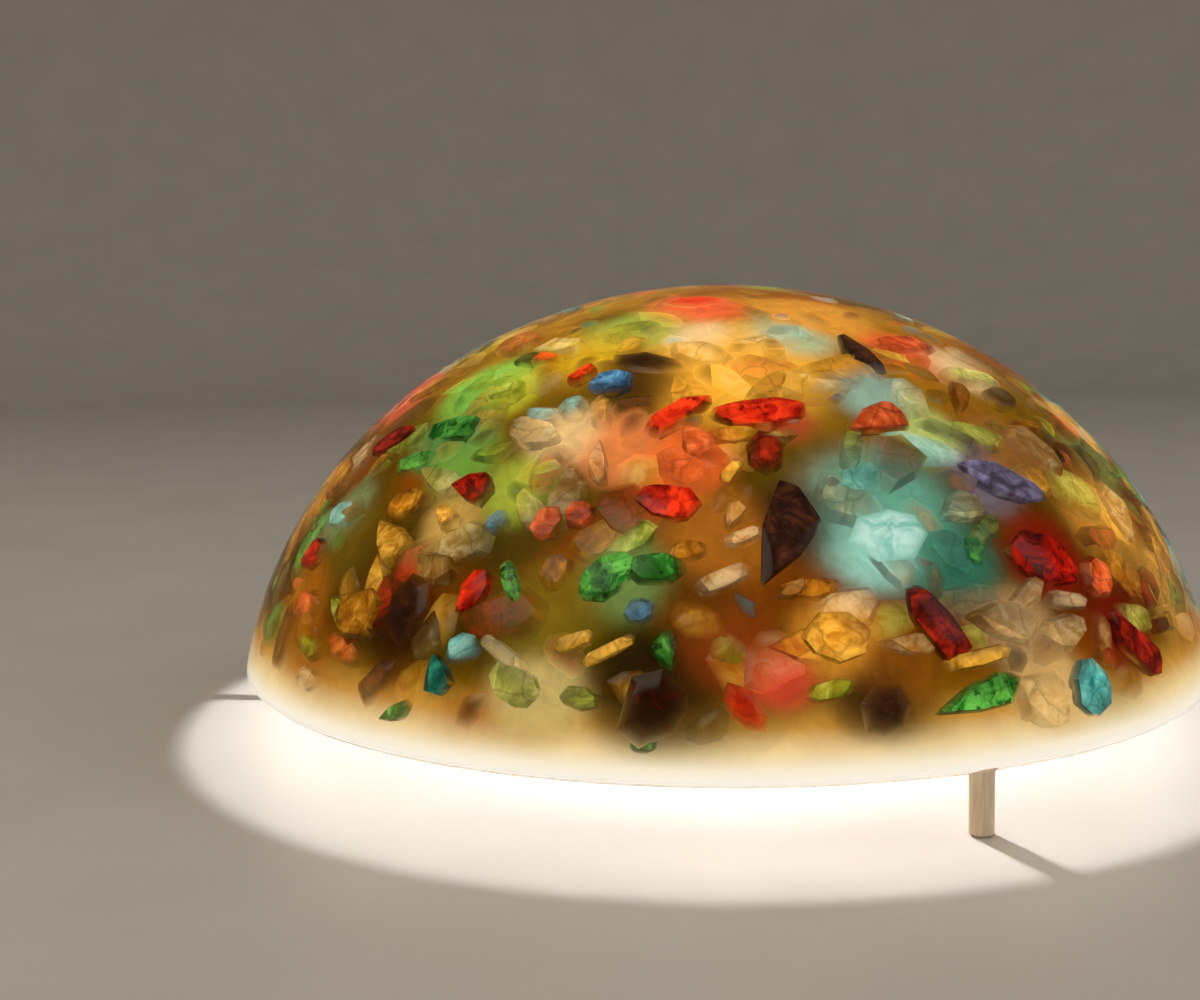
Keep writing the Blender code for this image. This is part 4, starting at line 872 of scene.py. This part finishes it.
def makeChips(glass, seed):  # one piece for each glass, which stands for all its CAD chips
    look = {**glassGrain, **glassLooks[glass]}
    material = chipGlass(glass, look)
    verts, faces, tones, veils, crisp, spreads = [], [], [], [], [], []
    for chipVerts, chipFaces, veil, tone, isCrisp, spread in heroes[glass]:
        faces += [tuple(k + len(verts) for k in face) for face in chipFaces]
        verts += chipVerts
        tones += [tone] * len(chipVerts)
        veils += list(veil)
        crisp += [isCrisp] * len(chipVerts)
        spreads.append(spread)
    setCount = len(verts)
    moreVerts, moreFaces, moreTones, moreVeils = scatterChips(glass, seed, material)
    faces += [tuple(k + setCount for k in face) for face in moreFaces]
    verts = keepBelowSkin([tuple(v) for v in verts + moreVerts], chipForm["least"])
    haze = hazeAt(verts)
    haze[setCount:] *= scatterForm["dim"] + scatterForm["lift"] * moreTones[:, None]
    piece = newPiece(glass + "_chips", (verts, faces), material, chipForm["sharp"])
    setAttribute(piece, "tone", "FLOAT", np.r_[tones, moreTones])
    setAttribute(piece, "crisp", "FLOAT", np.r_[crisp, np.zeros(len(moreVerts))])
    setAttribute(piece, "inChip", "FLOAT_VECTOR", np.concatenate([*spreads, np.zeros((len(moreVerts), 3))]))
    setAttribute(piece, "veil", "FLOAT", np.maximum(np.r_[veils, moreVeils], look["veilLeast"]))
    setAttribute(piece, "haze", "FLOAT_COLOR", np.c_[haze, np.ones(len(verts))])
    replaced = [n for n in cadNodes if n.startswith(glass + "_chip_")]
    slot = ("violet" if glass == "cobalt" else glass) + "_glass"
    print(glass, "chips:", len(heroes[glass]), "placed,", len(faces), "faces")
    dress(piece, "dome", slot, *replaced)


carrierGlass = bpy.data.materials.new("carrier")
shelf = chunkShapes(chipRng)
tree, sockets = scatterTree(shelf)
carrierVerts, carrierFaces = carrierMesh()
carrier = newPiece("chip carrier", (carrierVerts, carrierFaces), carrierGlass)
carrierRoom = (nearestChip(carrierVerts, heroPlaces) - scatterForm["clearance"]) / scatterForm["roomFade"]
carrierRoom = np.clip(carrierRoom, scatterForm["leastRoom"], 1)
fromFront = np.abs(np.degrees(np.arctan2(carrierVerts[:, 1], carrierVerts[:, 0])) + 90)
carrierFront = np.clip((scatterForm["frontHalf"] - fromFront) / scatterForm["frontFade"], 0, 1)
setAttribute(carrier, "room", "FLOAT", carrierRoom)
for seed, glass in enumerate(glassLooks, 1):
    makeChips(glass, seed)
for spare in (carrier, *shelf.objects):
    bpy.data.objects.remove(spare, do_unlink=True)
bpy.data.collections.remove(shelf)


# legs, base, lampholder and bulb: the CAD solids with worn edges

wornForm = {"merge": 0.01 * mm, "even": 0.5, "sharp": 38, "smooth": 40}
beechTones = ((0.3, "#D8BC98"), (0.52, "#ECD6B6"), (0.75, "#F6E8D2"))
fineGrain = (4.0, 0.6)  # detail and roughness of a noise


def mottled(name, sockets, size, low, high, height):  # slight mottling, and relief of this height in mm
    return grainFinish(name, sockets, size, fineGrain, ((0.35, low), (0.65, high)), (0.3, height))


def beechWood(name, sizes):  # sanded, unfinished beech: pale, with fine flecks along the grain
    return grainFinish(name, {"Roughness": 0.6}, sizes, (5.0, 0.65), beechTones, (0.25, 0.1))


def litBoard():  # board with yellow phosphor LEDs, switched on: even warm light, a little grainy
    sockets = {"Roughness": 0.5, "Emission Strength": 1.0}
    stops = ((0.35, "#F5D890"), (0.65, "#FFF0C8"))
    return grainFinish("LED board, lit", sockets, 0.8, (2.0, 0.5), stops, lit=True)


def clearCover():  # clear moulded cover of the bulb, full of light, with faint flow lines
    sockets = {"Base Color": rgba("#FFF6E0"), "Roughness": 0.1, "IOR": 1.49, "Transmission Weight": 0.9,
               "Emission Color": rgba("#FFEFC8"), "Emission Strength": 0.35}
    return grainFinish("clear cover, lit", sockets, 3, (2.0, 0.5), None, (0.1, 0.1))


def worn(node, body, slot, material, bevel):  # bevel in mm
    form = bmesh.new()
    form.from_mesh(cadNodes[node].data)
    bmesh.ops.remove_doubles(form, verts=form.verts, dist=wornForm["merge"])
    even, least = math.radians(wornForm["even"]), math.radians(wornForm["sharp"])
    bmesh.ops.dissolve_limit(form, angle_limit=even, verts=form.verts, edges=form.edges)
    sharp = [e for e in form.edges if e.is_manifold and e.calc_face_angle() > least]
    if bevel:
        bmesh.ops.bevel(form, geom=sharp, offset=bevel * mm, segments=2, profile=0.5, affect="EDGES",
                        clamp_overlap=True)
    bmesh.ops.recalc_face_normals(form, faces=form.faces)
    return dress(newPiece(node + "_worn", form, material, wornForm["smooth"]), body, slot, node)


dowelBeech = beechWood("beech dowel, sanded", (0.9, 0.9, 14))
turnedBeech = beechWood("beech, turned", (14, 0.9, 0.9))
metal = {"Roughness": 0.3, "Metallic": 1.0}
# pressed wool is dull and fibrous, unglazed steatite off-white and dense
felt = mottled("wool felt, pressed", {"Roughness": 0.95}, 0.8, "#2A2624", "#4A4440", 0.4)
steatite = mottled("steatite, unglazed", {"Roughness": 0.42}, 3, "#E2DFD6", "#F0EEE8", 0.05)
# rolled bronze is warm and streaky, zinc plating bright and faintly spangled
bronze = mottled("phosphor bronze strip", metal, 2, "#B07A44", "#D09A60", 0.02)
steel = mottled("zinc-plated steel", metal, 1.5, "#B8B8B4", "#D4D4D0", 0.02)
# nylon is waxy, a silicone sleeve soft and matt, the housing satin and even
nylon = mottled("nylon, moulded", {"Roughness": 0.5}, 2, "#D8D6CE", "#E8E6DE", 0.03)
sleeve = mottled("silicone sleeve", {"Roughness": 0.6}, 2, "#DAD6CA", "#EAE6DC", 0.03)
housing = mottled("white moulded plastic", {"Roughness": 0.38}, 2, "#E6E6E2", "#F2F2EE", 0.02)
for place in ("front", "rear", "left"):
    worn("dowel_leg_" + place, "dome", "beech", dowelBeech, 0.15)
worn("base_disc", "base", "beech", turnedBeech, 0.3)
worn("felt_pad", "base", "felt", felt, 0.3)
worn("lampholder_body", "base", "steatite", steatite, 0.25)
for side in ("left", "right"):
    worn("contact_clip_" + side, "base", "bronze", bronze, 0.05)
    worn("holder_screw_" + side, "base", "plated_steel", steel, 0.1)
worn("block_screw", "base", "plated_steel", steel, 0.1)
worn("terminal_block", "base", "nylon", nylon, 0.3)
for side in ("left", "right"):
    worn("lead_" + side, "base", "lead_sleeve", sleeve, 0)
    worn("pin_loop_" + side, "bulb", "plated_steel", steel, 0)
worn("capsule_housing", "bulb", "housing", housing, 0.2)
worn("led_board", "bulb", "led_board", litBoard(), 0.1)
cover = worn("capsule_cover", "bulb", "clear_cover", clearCover(), 0)
cover.visible_shadow = False  # the light inside it reaches the table
print("legs, base, lampholder and bulb done")


# stage, light and camera

stageShape = {"inner": 0.4, "flat": 1.6, "bend": 0.7, "top": 2.2, "steps": 12, "sides": 96}
lampLight = {"spot": (0, 0, 0.072), "power": 5.4, "radius": 0.006, "colour": "#F6F8FF"}
studio = {
    "world": 0.15, "worldColour": "#F4F2EE", "size": 1.3, "aim": (0, 0, 0.05),
    "lights": (("key", 27.0, (-1.0, -0.9, 1.5), "#FFF8F0"), ("fill", 12.0, (1.3, -0.4, 1.2), "#F4F6FF")),
}
cameraPlace = {"spot": (0.0, -0.462, 0.1222), "yaw": -0.07617, "pitch": 0.12741, "roll": -0.01667,
               "lens": 46.64, "sensor": 36, "nearest": 0.01}


def makeStage():  # pale painted table top, satin and all but even, that turns up far behind on every side
    sockets = {"Roughness": 0.38, "Specular IOR Level": 0.35}
    stops = ((0.3, "#A9A298"), (0.7, "#AFA89E"))
    material = grainFinish("painted table, satin", sockets, 60, (3.0, 0.5), stops)
    flat, bend = stageShape["flat"], stageShape["bend"]
    profile = [(0, 0), (stageShape["inner"], 0), (flat, 0)]
    profile += arc(flat, bend, bend, -90, 0, stageShape["steps"])[1:] + [(flat + bend, stageShape["top"])]
    verts, faces = revolve(profile, stageShape["sides"])
    newPiece("table", (verts, [tuple(reversed(face)) for face in faces]), material)


def addLight(name, kind, power, spot, hexText):
    light = bpy.data.lights.new(name, kind)
    light.energy = power
    light.color = linear(hexText)
    item = bpy.data.objects.new(name, light)
    item.location = spot
    bpy.context.collection.objects.link(item)
    return item


def lightScene():
    lamp = addLight("bulb light", "POINT", lampLight["power"], lampLight["spot"], lampLight["colour"])
    lamp.data.shadow_soft_size = lampLight["radius"]
    lamp.visible_transmission = lamp.visible_glossy = False
    lamp.parent = cover  # it goes with the bulb
    for name, power, spot, hexText in studio["lights"]:
        item = addLight(name, "AREA", power, spot, hexText)
        item.data.shape = "DISK"
        item.data.size = studio["size"]
        item.rotation_euler = (Vector(studio["aim"]) - Vector(spot)).to_track_quat("-Z", "Y").to_euler()
        item.visible_glossy = False  # no lamp-shaped glare on the polished dome
    world = bpy.context.scene.world or bpy.data.worlds.new("studio")
    bpy.context.scene.world = world
    world.use_nodes = True
    background = world.node_tree.nodes["Background"]
    background.inputs["Color"].default_value = rgba(studio["worldColour"])
    background.inputs["Strength"].default_value = studio["world"]


def makeCamera():
    yaw, pitch, roll = cameraPlace["yaw"], cameraPlace["pitch"], cameraPlace["roll"]
    ahead = Vector((math.sin(yaw) * math.cos(pitch), math.cos(yaw) * math.cos(pitch), -math.sin(pitch)))
    right = ahead.cross(Vector((0, 0, 1))).normalized()
    upward = right.cross(ahead)
    tiltedRight = right * math.cos(roll) + upward * math.sin(roll)
    tiltedUp = upward * math.cos(roll) - right * math.sin(roll)
    camera = bpy.data.objects.new("camera", bpy.data.cameras.new("camera"))
    camera.data.lens = cameraPlace["lens"]
    camera.data.sensor_width = cameraPlace["sensor"]
    camera.data.clip_start = cameraPlace["nearest"]
    axes = Matrix((tiltedRight, tiltedUp, -ahead)).transposed().to_4x4()
    camera.matrix_world = Matrix.Translation(cameraPlace["spot"]) @ axes
    bpy.context.collection.objects.link(camera)
    bpy.context.scene.camera = camera


makeStage()
lightScene()
makeCamera()
bpy.context.scene.view_settings.view_transform = "Standard"
print("stage, light and camera set")
